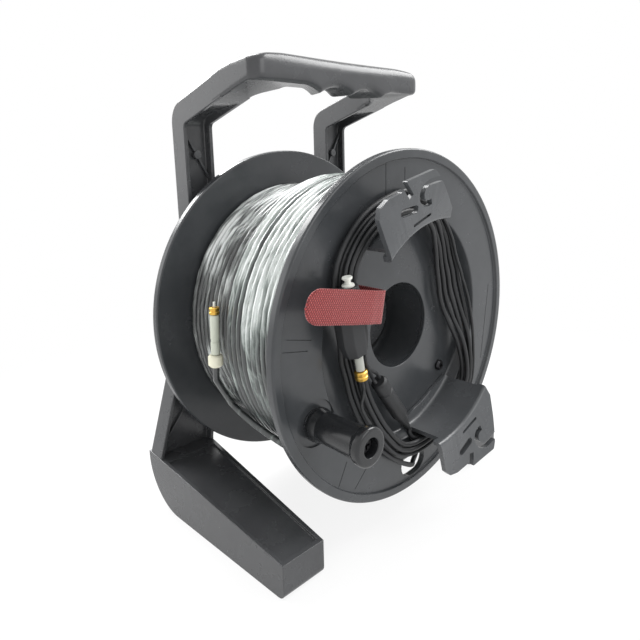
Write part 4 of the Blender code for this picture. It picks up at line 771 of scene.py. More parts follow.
def rib(bm, side, top, bottom):
    """One web with its ejector boss, added to a bmesh."""
    front, back = STAND_A + RIB_SINK, STAND_BACK_A - CHANNEL_WALL + 0.6 * MM
    extruded([(side * x, z) for x, z in stroke([top, bottom], RIB_T)], front, back, 0.4 * MM, bm)
    middle = (top + bottom) / 2
    boss = turned_solid([(RIB_BOSS_R, front - MM, 0.5), (RIB_BOSS_R, back, 0)], 28)
    boss.transform(Matrix.Translation((side * middle.x, 0, middle.y)))
    mesh = bpy.data.meshes.new("boss")
    boss.to_mesh(mesh)
    bm.from_mesh(mesh)
    boss.free()
    bpy.data.meshes.remove(mesh)


for side, word in SIDES:
    webs = bmesh.new()
    top_z = arm_top_z(STAND_BACK_A) - ELBOW_R
    span = (top_z - LEG_TOP_Z) / 3
    for i in range(3):
        high, low = top_z - i * span, top_z - (i + 1) * span + RIB_T * 2
        rib(webs, side, rib_end(high, i % 2 == 0), rib_end(low, i % 2 == 1))
    leg_top, leg_low = LEG_TOP_Z - CARRIER_H * 1.9, KNEE_Z + RIB_T * 3
    for outside in (True, False):
        rib(webs, side, rib_end(leg_top, outside), rib_end(leg_low, not outside))
    keep(webs, f"post_ribs_{word}", stand_plastic, body="stand")

# %% [markdown]
# ## The handle
# The grip is a solid bar that turns back into both arms, with waves for four fingers underneath. A plain tube would
# miss the boxy corners, so a section is drawn between an outer and an inner line at each station. It is boxy on the
# arms and grows rounder along the grip, and its lower edge moves with the wave.

# %% Handle
HANDLE_PROUD, FINGER_PITCH, FINGER_DEPTH, FINGER_SHIFT = mm(0.2, 24.6, 4.3, 5)
GRIP_HALF, BEND_OUT_R, BEND_IN_R, CORNER_DROP = mm(11.7, 8, 15, 3)
BEND_RUN, GRIP_START_X, GRIP_RUN, CORNER_X, CORNER_RUN = mm(22, 64, 18, 74, 30)


def handle_stations():
    """Outer and inner (x, a) of each station, from the left arm round its bend to the middle of the grip."""
    side_x, front_a = -POST_OUT - HANDLE_PROUD, HANDLE_A - GRIP_HALF
    inner_x, back_a = HANDLE_PROUD - POST_IN, HANDLE_A + GRIP_HALF
    stations = [((side_x, out_a * MM), (inner_x, in_a * MM)) for out_a, in_a in ((99, 99), (90, 97), (78, 95))]
    for i in range(13):
        t = math.pi + math.pi / 2 * i / 12
        pair = []
        for x, along, radius in ((side_x, front_a, BEND_OUT_R), (inner_x, back_a, BEND_IN_R)):
            pair.append((x + radius * (1 + math.cos(t)), along + radius * (1 + math.sin(t))))
        stations.append(tuple(pair))
    start_out, start_in = stations[-1][0][0], stations[-1][1][0]
    for i in range(1, 65):
        share = i / 64
        stations.append(((start_out * (1 - share), front_a), (start_in * (1 - share), back_a)))
    return stations


def handle_ring(outer, inner):
    """Section between an outer and an inner point: boxy on the arm, rounder along the grip, waved underneath."""
    outer, inner = Vector(outer), Vector(inner)
    x, along = (outer + inner) / 2
    top = arm_top_z(max(along, HANDLE_A)) + HANDLE_PROUD
    turn = (x - FINGER_SHIFT) / FINGER_PITCH
    waves = 1 - abs(math.sin(math.pi * turn)) if abs(turn) < 1.5 else 0.0
    low = top - HANDLE_H - FINGER_DEPTH * waves
    bent = smooth_step((CHANNEL_START_A - along) / BEND_RUN)
    gripped = smooth_step((GRIP_START_X - abs(x)) / GRIP_RUN)
    high_r, low_r = 2.4 + 4.4 * bent + 2.0 * gripped, 2.4 + 1.8 * bent + 1.0 * gripped
    top -= CORNER_DROP * bent * (1 - smooth_step((CORNER_X - abs(x)) / CORNER_RUN))
    wide = (inner - outer).length
    section = eased([(0, low, low_r), (0, top, high_r), (wide, top, high_r), (wide, low, low_r)], 6)
    ring = []
    for reach, z in section:
        spot = outer.lerp(inner, reach / wide)
        slope = arm_top_z(max(spot.y, HANDLE_A)) - arm_top_z(max(along, HANDLE_A))
        ring.append((spot.x, spot.y, z + slope * (1 - gripped)))
    return ring


left_half = handle_stations()
right_half = [[(-x, along) for x, along in station] for station in left_half[-2::-1]]
handle_rings = [handle_ring(*station) for station in left_half + right_half]
keep(swept(handle_rings), "grip_bar", stand_plastic, body="stand")

# %% [markdown]
# ## The feet
# Each foot is a long wedge under the drum, hollow underneath, with a sunk panel on top between two raised beads.
# The outline is extruded across, and the panel and the hollows are inset faces, as a mould's core would leave.

# %% Feet
HEEL_R, TOE_R, FOOT_SKIN = mm(36, 5, 3.2)


def foot_top_z(along):
    rise = (FOOT_REAR_H - FOOT_FRONT_H) / (STAND_BACK_A - FOOT_REACH)
    return FLOOR_Z + FOOT_FRONT_H + rise * (along - FOOT_REACH)


def foot_in(along):
    return FOOT_IN_FRONT + (LEG_IN - FOOT_IN_FRONT) * (along - FOOT_REACH) / (STAND_BACK_A - FOOT_REACH)


def inset_part(bm, direction, start, end, margin):
    """Inset the stretch of an upper or lower face between two places along the foot."""
    for place in (start, end):
        score(bm, (0, place, 0), (0, 1, 0))
    bm.normal_update()
    part = [face for face in bm.faces
            if face.normal.z * direction > 0.8 and start < face.calc_center_median().y < end]
    bmesh.ops.inset_region(bm, faces=part, thickness=margin, depth=0, use_even_offset=True)
    return part


def pulled(bm, faces):
    """Extrude faces, drop the old ones and return the new corners."""
    corners = verts_of(bmesh.ops.extrude_face_region(bm, geom=faces)["geom"])
    bmesh.ops.delete(bm, geom=faces, context="FACES")
    return corners


def foot(side):
    """Wedge with rounded heel and toe, a sunk panel on top and two hollow bays below."""
    outline = [(STAND_BACK_A, foot_top_z(STAND_BACK_A))]
    for i in range(15):
        x, z = polar(HEEL_R, -math.pi / 2 * i / 14)
        outline.append((STAND_BACK_A - HEEL_R + x, FLOOR_Z + HEEL_R + z))
    for i in range(7):
        x, z = polar(TOE_R, -math.pi / 2 - math.pi / 2 * i / 6)
        outline.append((FOOT_REACH + TOE_R + x, FLOOR_Z + TOE_R + z))
    outline.append((FOOT_REACH, foot_top_z(FOOT_REACH)))
    inner = [(side * foot_in(along), along, z) for along, z in outline]
    bm = swept([inner, [(side * FOOT_OUT, along, z) for along, z in outline]])
    bmesh.ops.recalc_face_normals(bm, faces=bm.faces)
    panel = inset_part(bm, 1, FOOT_REACH + 0.5 * MM, STAND_A - FOOT_BEAD, FOOT_BEAD)
    bmesh.ops.translate(bm, verts=pulled(bm, panel), vec=(0, 0, -FOOT_RECESS))
    bay_start, bay_end = FOOT_REACH + TOE_R, STAND_BACK_A - HEEL_R
    middle = (bay_start + bay_end) / 2
    for low, high in ((bay_start, middle), (middle, bay_end)):
        for vert in pulled(bm, inset_part(bm, -1, low, high, FOOT_SKIN)):
            vert.co.z = foot_top_z(vert.co.y) - FOOT_RECESS - FOOT_SKIN
    return bevel_sharp(bm, 0.8 * MM, 35, 3)


for side, word in SIDES:
    keep(foot(side), f"foot_{word}", stand_plastic, body="stand")

# %% [markdown]
# ## The cross-member
# Behind the drum a ribbed beam joins the posts and widens to a disc that the axle's plate is bolted to. The beam
# is an extruded outline with two pockets cut from its front, and the disc is turned.

# %% Cross-member
DISC_R, POCKET_R, CARRIER_WEB = mm(46, 28, 3.5)
beam_back = STAND_BACK_A - 0.4 * MM
top_x, low_x = leg_edges(CARRIER_H)[0] + CHANNEL_WALL / 2, leg_edges(-CARRIER_H)[0] + CHANNEL_WALL / 2
beam = extruded([(-top_x, CARRIER_H), (top_x, CARRIER_H), (low_x, -CARRIER_H), (-low_x, -CARRIER_H)],
                STAND_A + RIB_SINK, beam_back, 0.6 * MM)
pocket_in, pocket_h = DISC_R - CHANNEL_WALL, CARRIER_H - CHANNEL_WALL
for sign in (-1, 1):
    pocket = [(pocket_in, pocket_h), (top_x - CHANNEL_WALL, pocket_h), (low_x - CHANNEL_WALL, -pocket_h),
              (pocket_in, -pocket_h)]
    carve(beam, extruded([(sign * x, z) for x, z in pocket], STAND_A - MM, beam_back - CARRIER_WEB))
disc_back = STAND_BACK_A - 0.2 * MM
turned_solid([(DISC_R, disc_back, 1.2), (DISC_R, STAND_A, 0.8), (POCKET_R, STAND_A, 0.8),
              (POCKET_R, beam_back - CARRIER_WEB, 1.0)], 96, beam)
keep(beam, "cross_member", stand_plastic, body="stand")

# %% [markdown]
# ## The drum's flanges
# The front flange is a rimmed disc with a wide dish for the hooks, a round cup under the crank and an oval
# hole for the lead. It is turned as one wall and the openings are cut out. The hairlines that the mould's inserts
# leave on the face are cut too, as very thin grooves.

# %% Front flange
FACE_SINK, RIM_W, DISH_R, DISH_A, DISH_BACK_A, DISH_SLOPE = mm(2, 6.5, 78, 10, 13, 1.5)
HUB_BORE_R, SPIGOT_R, SPIGOT_L = mm(29, 81, 7)
CABLE_HOLE_L, CABLE_HOLE_W = mm(26, 19.5)
CRANK_X, CRANK_Z = polar(93.8 * MM, math.radians(-156))
CUP_R, CUP_DEPTH, SPINDLE_R = mm(14.5, 1.4, 4)
HAIRLINE_W, HAIRLINE_DEPTH = mm(0.5, 0.7)

# Ends of the hairlines on the face, as (x, z) from the drum's axis in mm
HAIRLINES = (((-23, 82), (-23, 109)), ((-4.5, 93), (-4.5, 106)), ((-105.6, 17.2), (-87.6, 12.7)),
             ((-108.6, 10.7), (-90.8, 7.1)), ((-61, -73), (-68.5, -87)), ((-43, -85), (-54, -95)),
             ((101.5, 12.3), (93.4, -47)))


def rim_corners(front, back, sink):
    """Outer edge of a flange: over the raised lip and round the rim to its inner face."""
    lip = FLANGE_R - RIM_W
    return [(lip, front + sink, 0.8), (lip + 0.8 * MM, front, 0.6), (FLANGE_R, front, 1.6), (FLANGE_R, back, 1.2)]


def circle(centre, radius, steps):
    spokes = [polar(radius, math.tau * i / steps) for i in range(steps)]
    return [(centre[0] + x, centre[1] + z) for x, z in spokes]


def slot_outline(centre, length, width, angle, steps=12):
    """Outline of a slot with round ends, turned to an angle."""
    half = (length - width) / 2
    points = []
    for end, base in ((half, -math.pi / 2), (-half, math.pi / 2)):
        for i in range(steps + 1):
            x, z = polar(width / 2, base + math.pi * i / steps)
            points.append((end + x, z))
    c, s = math.cos(angle), math.sin(angle)
    return [(centre[0] + c * x - s * z, centre[1] + s * x + c * z) for x, z in points]


def hairline(start, end):
    """Thin cutter for a groove in the front face."""
    line = stroke([Vector(start) * MM, Vector(end) * MM], HAIRLINE_W)
    return extruded(line, FACE_SINK - 2 * MM, FACE_SINK + HAIRLINE_DEPTH)


flange_profile = eased([(HUB_BORE_R, DISH_A, 0.8), (DISH_R - DISH_SLOPE, DISH_A, 2.0),
                        (DISH_R + DISH_SLOPE, FACE_SINK, 1.2), *rim_corners(0, RIM_T, FACE_SINK),
                        (SPIGOT_R, RIM_T, 0), (SPIGOT_R, DISH_BACK_A, 0.5), (HUB_BORE_R, DISH_BACK_A, 0.5)])
flange = turned(flange_profile, 160)
cable_hole = slot_outline(polar(CABLE_HOLE_R, CABLE_HOLE_ANGLE), CABLE_HOLE_L, CABLE_HOLE_W,
                          CABLE_HOLE_ANGLE + math.pi / 2)
carve(flange, extruded(cable_hole, -MM, RIM_T + MM),
      extruded(circle((CRANK_X, CRANK_Z), CUP_R, 64), -MM, FACE_SINK + CUP_DEPTH),
      *[hairline(*ends) for ends in HAIRLINES])
keep(flange, "front_flange_face", drum_plastic, ["front_flange"], sharp=30)

# %% Rear flange and core
REAR_BACK_A, SPIGOT_END_A = REAR_A + RIM_T - FACE_SINK, REAR_A - SPIGOT_L
HUB_TUBE_R, BARREL_IN_R, BARREL_OUT_R = mm(32, 81.3, 84.3)
WEB_IN_R, WEB_OUT_R, WEB_T, BOSS_R, SCREW_RING_R = mm(30.5, 82.8, 3, 5, 62)
SCREW_ANGLES = [math.radians(-132 + 90 * i) for i in range(4)]
SQUARE = (0, 0, 0, 0)
rear_profile = eased([(HUB_BORE_R, REAR_BACK_A, 0.6), *rim_corners(REAR_A + RIM_T, REAR_A, -FACE_SINK),
                      (SPIGOT_R, REAR_A, 0), (SPIGOT_R, SPIGOT_END_A, 0.5), (DISH_R, SPIGOT_END_A, 0.5),
                      (DISH_R, REAR_A, 0), (HUB_BORE_R, REAR_A, 0.6)])
keep(turned(rear_profile, 160), "rear_flange_face", drum_plastic, ["rear_flange"], sharp=30)
hub_low, core_high = DISH_BACK_A + GAP, REAR_A - GAP
core = turned_band(HUB_BORE_R, HUB_TUBE_R, hub_low, core_high, SQUARE, 96)
turned_band(BARREL_IN_R, BARREL_OUT_R, RIM_T + GAP, core_high, SQUARE, 96, core)
for angle in SCREW_ANGLES:
    aim = Vector(polar(1, angle))
    extruded(stroke([aim * WEB_IN_R, aim * WEB_OUT_R], WEB_T), hub_low + MM, REAR_A - 8 * MM, bm=core)
    extruded(circle(aim * SCREW_RING_R, BOSS_R, 28), hub_low, core_high, bm=core)
keep(core, "barrel_and_hub", drum_plastic, ["drum_core"], sharp=30)

# %% [markdown]
# ## Inside the hub
# Through the open hub one sees the axle's cap, its retaining ring and the front bush. They are simple turned
# pieces. The inner cable layers are a plain sleeve under the outer turns, in the bare jacket's colour.

# %% Hub pieces and inner cable layers
AXLE_R, AXLE_END_A, CAP_PLUG_R, CAP_PLUG_L, RING_T, BUSH_L = mm(24, 43.3, 19.7, 5, 1.5, 20)
RING_IN_R, RING_OUT_R, BUSH_IN_R, BUSH_OUT_R = mm(22.3, 27.2, 24.3, 28.7)
seat, cap_r = AXLE_END_A - GAP, AXLE_R - GAP
cap = turned_solid([(9 * MM, seat - 1.4 * MM, 0.5), (10 * MM, seat - 2 * MM, 0.4), (cap_r, seat - 2 * MM, 0.7),
                    (cap_r, seat, 0.2), (CAP_PLUG_R, seat, 0), (CAP_PLUG_R, seat + CAP_PLUG_L, 0.4)], 72)
keep(cap, "hub_cap", stand_plastic, ["axle_cap"], "stand")
ring_a = AXLE_END_A + 2 * MM
snap_ring = turned_band(RING_IN_R, RING_OUT_R, ring_a + GAP, ring_a + RING_T, (0, 0.2, 0.2, 0), 72)
keep(snap_ring, "snap_ring", zinc_steel, ["retaining_ring"], "stand")
bush_a = ring_a + 1.2 * MM + 3 * GAP
bush = turned_band(BUSH_IN_R, BUSH_OUT_R, bush_a, bush_a + BUSH_L, (0.4, 0.4, 0.4, 0.4), 72)
keep(bush, "front_bush", bearing_plastic, ["bush_front"])
core_in, core_out = BARREL_OUT_R + GAP, WINDING_R - CABLE_D / 2 - 0.4 * MM
step_a = RIM_T + LAYER_L - CABLE_D / 2 - GAP
layers = [(core_in, RIM_T + GAP), (core_out + LAYER_RISE, RIM_T + GAP), (core_out + LAYER_RISE, step_a),
          (core_out, step_a), (core_out, REAR_A - GAP), (core_in, REAR_A - GAP)]
keep(turned(layers, 120), "inner_layers", cable_jacket, ["cable_core"])

# %% [markdown]
# ## The cable hooks
# Two curved walls stand in the dish and end in flared plates that keep the coil from slipping off. The plate has a
# curled slot for the lead, an oval window and a slit. The wall and plate are one profile turned through an arc,
# trimmed to the plate's outline and cut with the slots. A last Bevel rounds the edges.

# %% Cable hooks
HOOK_T, HOOK_STAND, HOOK_PLATE_L, HOOK_RISE = mm(3, 26, 31, 7.4)
HOOK_BASE_W, HOOK_BASE_T, HOOK_CORNER, HOOK_STEP, HOOK_EDGE = mm(8, 2.4, 6, 4.8, 0.8)
HOOK_SLOT_W, HOOK_CURL_R, HOOK_CELL = mm(3.8, 6.4, 4)
HOOK_TWIST, HOOK_SPAN_UPPER = 0.27, math.radians(6)
HOOK_REACH = HOOK_BACK_R + HOOK_PLATE_L


def hook_plan():
    """Plan of a hook as seen from the front, for a hook at the top."""
    reach, low, corner = HOOK_REACH, HOOK_WALL_R - HOOK_BASE_W - HOOK_EDGE, HOOK_CORNER
    left, right = -HOOK_WALL_R * math.sin(HOOK_SPAN_SHORT), HOOK_WALL_R * math.sin(HOOK_SPAN_LONG)
    return eased([(left - corner, low, 0), (left - corner, HOOK_WALL_R, 1),
                  (left - 1.1 * corner, reach - 2.2 * corner, 2), (left - 0.6 * corner, reach - 1.2 * corner, 2),
                  (left + 0.4 * corner, reach - HOOK_STEP, 2), (-1.6 * corner, reach - HOOK_STEP, 1.5),
                  (-0.9 * corner, reach, 1.5), (right - 2.9 * corner, reach - HOOK_EDGE, 1.5),
                  (right - 2.35 * corner, reach - HOOK_STEP, 1.5), (right - 0.9 * corner, reach - 3.5 * corner, 3),
                  (right + 0.2 * corner, HOOK_WALL_R, 1), (right + 0.2 * corner, low, 0)])


def hook_slots():
    """The curled cable slot, the notch, the oval window and the slit."""
    reach = HOOK_REACH
    x, z = 11 * MM, reach - 13.8 * MM
    mouth = (HOOK_WALL_R * math.sin(HOOK_SPAN_LONG) + HOOK_CORNER, z + HOOK_CURL_R * 0.4)
    bend = [polar(HOOK_CURL_R, math.radians(75 + 210 * i / 24)) for i in range(25)]
    curl = stroke([mouth, *[(x + out, z + up) for out, up in bend]], HOOK_SLOT_W)
    notch_x = -3.4 * MM
    notch = stroke([(notch_x - HOOK_STEP, reach + HOOK_EDGE), (notch_x, reach - 10 * MM)], HOOK_SLOT_W)
    window = slot_outline((-6 * MM, reach - 18 * MM), 14.5 * MM, 5 * MM, math.radians(-11))
    slit = slot_outline((4.3 * MM, HOOK_BACK_R + 2.6 * MM), 17 * MM, 1.8 * MM, 0, 6)
    return curl, notch, window, slit


def hook_wall():
    """Profile of base, wall and flared plate, turned through the hook's arc."""
    rise, end_r, floor = HOOK_STAND + HOOK_RISE, HOOK_REACH + 6 * MM, DISH_A - GAP
    base_r, base_top = HOOK_WALL_R - HOOK_BASE_W, floor - HOOK_BASE_T
    profile = eased([(base_r, floor, 0), (base_r, base_top, 0.6), (HOOK_WALL_R, base_top, 3),
                     (HOOK_WALL_R, -HOOK_STAND, 3), (end_r, -rise, 0), (end_r, HOOK_T - rise, 0),
                     (HOOK_BACK_R, HOOK_T - HOOK_STAND, 2), (HOOK_BACK_R, floor, 2.5)], 5)
    bm = bmesh.new()
    face = bm.faces.new([bm.verts.new((radius, along, 0)) for radius, along in profile])
    start = math.pi / 2 - HOOK_SPAN_LONG - math.radians(4)
    arc = HOOK_SPAN_LONG + HOOK_SPAN_SHORT + math.radians(14)
    bmesh.ops.rotate(bm, verts=bm.verts, cent=(0, 0, 0), matrix=Matrix.Rotation(-start, 3, "Y"))
    bmesh.ops.spin(bm, geom=[*face.verts, *face.edges, face], axis=(0, -1, 0), cent=(0, 0, 0), angle=arc, steps=40)
    return bm


def twist_plate(hook):
    """Score the plate into small cells, then raise its long side and lower its short side towards its edge."""
    for i in range(-9, 12):
        score(hook, (i * HOOK_CELL + 0.7 * MM, 0, 0), (1, 0, 0))
    for vert in hook.verts:
        out = math.hypot(vert.co.x, vert.co.z) - HOOK_BACK_R
        vert.co.y -= HOOK_TWIST * vert.co.x * max(out, 0.0) / HOOK_PLATE_L


def cable_hook(name, angle, mirrored, wall_span, node):
    """One hook: its plan and slots are cut first, then its plate is twisted."""
    deep, plate_a, trim_r = 2 * (HOOK_STAND + HOOK_RISE), HOOK_T * 2 - HOOK_STAND, HOOK_BACK_R + HOOK_EDGE
    hook = hook_wall()
    carve(hook, extruded(hook_plan(), -deep, deep), operation="INTERSECT")
    for turn, sign in ((HOOK_SPAN_SHORT, -1), (-wall_span, 1)):
        x, z = polar(trim_r, math.pi / 2 + turn)
        carve(hook, extruded([(x, z), (0, 0), (sign * trim_r, 0), (sign * trim_r, z)], plate_a, 2 * DISH_A))
    carve(hook, *[extruded(outline, -deep, plate_a) for outline in hook_slots()])
    twist_plate(hook)
    turn = Matrix.Rotation(math.pi / 2 - angle, 4, "Y")
    flip = Matrix.Scale(-1, 4, (1, 0, 0)) if mirrored else Matrix.Identity(4)
    piece = keep(hook, name, hook_plastic, [node], sharp=35, move=turn @ flip)
    edges = piece.modifiers.new("eased_edges", "BEVEL")
    edges.width, edges.segments, edges.limit_method, edges.angle_limit = 0.45 * MM, 2, "ANGLE", math.radians(40)
    piece.modifiers.move(1, 0)


cable_hook("hook_upper", HOOK_ANGLE, False, HOOK_SPAN_UPPER, "cable_hook_upper")
cable_hook("hook_lower", HOOK_ANGLE + math.pi, True, HOOK_SPAN_LONG, "cable_hook_lower")

# %% [markdown]
# ## The crank
# A glossy grip turns on a steel pin at the flange's edge. It is one turned profile: a foot collar, a slim waist, a
# rolled end and a recess that holds the screw. The screw's head gets a cross recess, cut with two thin blades.

# %% Crank
CRANK_REACH, SCREW_R, HEAD_H, PIN_COLLAR_R = mm(41, 2, 2.4, 8.5)
GRIP_FOOT_R, GRIP_WAIST_R, GRIP_END_R, GRIP_RECESS_R = mm(10.2, 9, 11.4, 5.6)
at_crank = Matrix.Translation((CRANK_X, 0, CRANK_Z))
collar_a = FACE_SINK + CUP_DEPTH - GAP
collar_end = collar_a - 1.6 * MM
shelf = 6 * MM - CRANK_REACH
pin_tip = shelf + 3 * GAP
bore, base = SPINDLE_R + GAP, collar_end - GAP
grip_profile = eased([(bore, base, 0.2), (GRIP_FOOT_R, base, 0.8), (GRIP_FOOT_R, base - 2.4 * MM, 1.6),
                      (GRIP_WAIST_R, base - 7 * MM, 3), (GRIP_WAIST_R, base - 18 * MM, 4),
                      (9.6 * MM, 7.5 * MM - CRANK_REACH, 3), (GRIP_END_R, 4.6 * MM - CRANK_REACH, 2.2),
                      (GRIP_END_R, -CRANK_REACH, 2.2), (GRIP_RECESS_R, -CRANK_REACH, 0.8),
                      (GRIP_RECESS_R, pin_tip, 0.3), (bore, pin_tip, 0.2)], 7)
keep(turned(grip_profile, 72), "crank_handle", crank_plastic, ["crank_grip"], "crank", 50, at_crank)
pin = turned_solid([(SPINDLE_R, RIM_T, 0), (SPINDLE_R, collar_a, 0), (PIN_COLLAR_R, collar_a, 0.3),
                    (PIN_COLLAR_R, collar_end, 0.3), (SPINDLE_R, collar_end, 0), (SPINDLE_R, pin_tip, 0.3)], 40)
keep(pin, "crank_pin", zinc_steel, ["crank_spindle"], sharp=35, move=at_crank)


def screw_head(head_r, under, toward, shank):
    """Pan head with a cross recess: its seat lies at under, and its shank runs on in the direction given."""
    top = under - toward * HEAD_H
    bm = turned_solid([(head_r * 0.72, top, 0.2), (head_r, under - toward * HEAD_H * 0.45, 0.8), (head_r, under, 0.1),
                       (SCREW_R, under, 0), (SCREW_R, under + toward * shank, 0.3)], 32)
    blade, reach = head_r * 0.13, head_r * 0.52
    low, high = sorted((top - toward * 0.5 * MM, top + toward * 1.1 * MM))
    for wide, tall in ((reach, blade), (blade, reach)):
        carve(bm, extruded([(-wide, -tall), (wide, -tall), (wide, tall), (-wide, tall)], low, high))
    return bm


bolt = screw_head(5 * MM, shelf + GAP, 1, 9 * MM)
keep(bolt, "crank_bolt", dark_steel, ["crank_screw"], sharp=35, move=at_crank)

# %% Flange screws
FLANGE_HEAD_R, FLANGE_SHANK = mm(3.8, 8.5)
SCREW_ROWS = (("dish", "front", DISH_A - GAP, 1), ("back", "rear", REAR_BACK_A + GAP, -1))
for i, angle in enumerate(SCREW_ANGLES, 1):
    x, z = polar(SCREW_RING_R, angle)
    for word, flange_word, under, toward in SCREW_ROWS:
        screw = screw_head(FLANGE_HEAD_R, under, toward, FLANGE_SHANK)
        keep(screw, f"{word}_screw_{i}", dark_steel, [f"{flange_word}_screw_{i}"], sharp=35,
             move=Matrix.Translation((x, 0, z)))

# %% [markdown]
# ## Connectors on the cords
# The cable's own end lies on the winding: a pale sleeve between a cream nut and a gilt collar with a thin pin. The
# lead's tails end in a faceted black housing with a grey tube, a gilt collar and a white tip. The round pieces are
# turned lying along their cord, and the housing is extruded from station to station.


# %% Helper for round pieces along a cord
def along_front(origin, aim, height):
    """Matrix that lays a turned piece along an aim in the front's plane."""
    lay = Matrix.Rotation(math.pi / 2, 4, "X")
    return Matrix.Translation((origin[0], height, origin[1])) @ lay @ Matrix.Rotation(aim - math.pi / 2, 4, "Z")


def round_piece(name, lay, material, nodes, start, corners):
    """Turned piece along a cord, from corners of (radius, distance from its start, rounding) in mm."""
    solid = turned_solid([(radius * MM, start + run * MM, rounding) for radius, run, rounding in corners], 40)
    return keep(solid, name, material, nodes, move=lay)


# %% End connector on the winding
lay_end = along_front(polar(END_AXIS_R, END_ANGLE), END_ANGLE + math.pi / 2, END_A)
sleeve_end = END_SLEEVE_L / 2
sleeve = round_piece("cable_end_sleeve", lay_end, sleeve_plastic, ["end_sleeve"], -sleeve_end,
                     [(2.5, 0, 0.3), (2.9, 0.8, 0.3), (2.9, 15.6, 0.2), (2.6, 16.12, 0.2), (2.6, 17.42, 0.2),
                      (2.9, 17.94, 0.2), (2.9, END_SLEEVE_L / MM, 0.3)])
gilt = round_piece("cable_end_collar", lay_end, gold_collar, ["end_collar"], -sleeve_end - GAP,
                   [(2.8, -4.6, 0.4), (3.3, -4.2, 0.4), (3.3, -2.8, 0.2), (2.9, -2.5, 0.2), (2.9, -1.9, 0.2),
                    (3.3, -1.6, 0.2), (3.3, 0, 0.4)])
end_pin = round_piece("cable_end_pin", lay_end, white_plastic, (), -sleeve_end - GAP,
                      [(0.8, -8, 0.3), (0.9, -4, 0.2)])
nut = round_piece("cable_end_nut", lay_end, cream_plastic, ["end_nut"], sleeve_end + GAP,
                  [(3.9, 0, 0.3), (END_NUT_R / MM, 0.9, 0.5), (END_NUT_R / MM, 6.4, 0.5),
                   (3.2, END_NUT_L / MM, 0.6)])

# %% Fan-out sleeve and its boot
lay_fan = along_front(FAN_OUT_TOP, FAN_OUT_AIM, 0)
fan_r, boot_r, boot_end_r, boot_ribs = FAN_OUT_R / MM, FAN_OUT_R / MM * 0.86, 2.2, 4
fan_body = round_piece("fan_out_sleeve", lay_fan, lead_jacket, ["fan_out_body"], 0,
                       [(4.4, 0, 0.8), (fan_r, 1.6, 0.8), (fan_r, 9, 0.3), (4.9, 9.6, 0.3), (4.9, 10.8, 0.3),
                        (fan_r, 11.4, 0.3), (fan_r, FAN_OUT_L / MM, 0.8)])
boot_rings = [(boot_r, 0, 0.3)]
for i in range(boot_ribs):
    run, shrink = 1.2 + 3.1 * i, (boot_r - boot_end_r) / boot_ribs
    radius = boot_r - shrink * i
    boot_rings += [(radius, run, 0.2), (radius - shrink, run + 0.7, 0.2), (radius - shrink, run + 1.7, 0.2)]
boot_rings.append((2.1, BOOT_L / MM, 0.4))
fan_boot = round_piece("fan_out_cone", lay_fan, lead_jacket, ["fan_out_boot"], FAN_OUT_L + GAP, boot_rings)

# %% Connector under the strap
lay_plug = along_front(HOUSING_TOP, HOUSING_AIM, -HOUSING_UP)
plug_tube = round_piece("plug_tube", lay_plug, ferrule_plastic, ["connector_tube"], HOUSING_L + GAP,
                        [(2.6, 0, 0.2), (2.6, TUBE_L / MM, 0.2)])
plug_collar = round_piece("plug_collar", lay_plug, gold_collar, ["connector_collar"], HOUSING_L + 2 * GAP + TUBE_L,
                          [(3.3, 0, 0.3), (4, 0.7, 0.3), (4, 2.2, 0.2), (3.5, 2.6, 0.2), (3.5, 3.2, 0.2),
                           (4, 3.6, 0.2), (4, COLLAR_L / MM, 0.4)])
plug_tip = round_piece("plug_tip", lay_plug, white_plastic, ["connector_tip"], -GAP,
                       [(3, -5.7, 0.4), (3, -4.5, 0.3), (1.8, -3.9, 0.3), (1.8, -1.8, 0.3), (3.6, -1.2, 0.3),
                        (3.6, 0, 0.3)])


def housing_ring(run, taper):
    """Six-sided section of the housing at a distance from its top."""
    wide, chamfer = HOUSING_W / 2, HOUSING_H * 0.45
    high, low = -HOUSING_UP - HOUSING_H / 2, -HOUSING_UP + HOUSING_H / 2
    section = [(-wide, low), (wide, low), (wide, high + chamfer), (wide - chamfer * 1.6, high), (chamfer - wide, high),
               (-wide, high + chamfer)]
    return [tuple(beside(HOUSING_TOP, HOUSING_AIM, run, across * taper, along)) for across, along in section]


tapers = ((0, 0.7), (0.2, 1.0), (0.8, 1.0), (1, 0.78))
shell = bevel_sharp(swept([housing_ring(HOUSING_L * run, taper) for run, taper in tapers]), 0.6 * MM, 18, 3)
plug_housing = keep(shell, "plug_housing", lead_jacket, ["connector_housing"], sharp=30)


# %% [markdown]
# ## The red strap
# A hook-and-loop strap passes under the stored lead, round its inner side and back over the connector. It is one
# flat cut of fabric, so it is drawn as a grid along its line and thickened. Its UV map is in metres, so that the
# rows of loops keep their real size.

# %% Strap
STRAP_ANGLE, STRAP_CELLS = math.radians(168.3), 10
STRAP_W, STRAP_T, STRAP_RISE, STRAP_CORNER = mm(19.4, 1.2, 17, 8.8)
WAVY_END_L, WAVE_L, WAVE_H = mm(52, 9, 0.5)
under, sunk, over = FACE_SINK - GAP, DISH_A - 2.6 * MM, -HOUSING_UP - HOUSING_H / 2 - GAP - STRAP_T
strap_in, strap_out = LEAD_R - 28.6 * MM, LEAD_R + 22.9 * MM
strap_line = [(0.45, under), (0.43, under), (0.41, under), (0.39, under + STRAP_T * 0.4), (0.33, sunk - STRAP_T * 2),
              (0.26, sunk), (0.1, sunk), (0.03, sunk * 0.6), (0.0, 0.0), (0.0, over * 0.72), (0.04, over * 0.93),
              (0.13, over), (0.42, over), (0.68, over), (0.9, over), (1.1, over * 0.97), (1.15, over * 0.96),
              (1.19, over * 0.95), (1.215, over * 0.94)]
strap_points = [Vector((strap_in + (strap_out - strap_in) * out, along, 0)) for out, along in strap_line]
strap_route = smooth_route(strap_points, 5)
strap_length, strap_steps = route_length(strap_route), len(strap_route) - 1
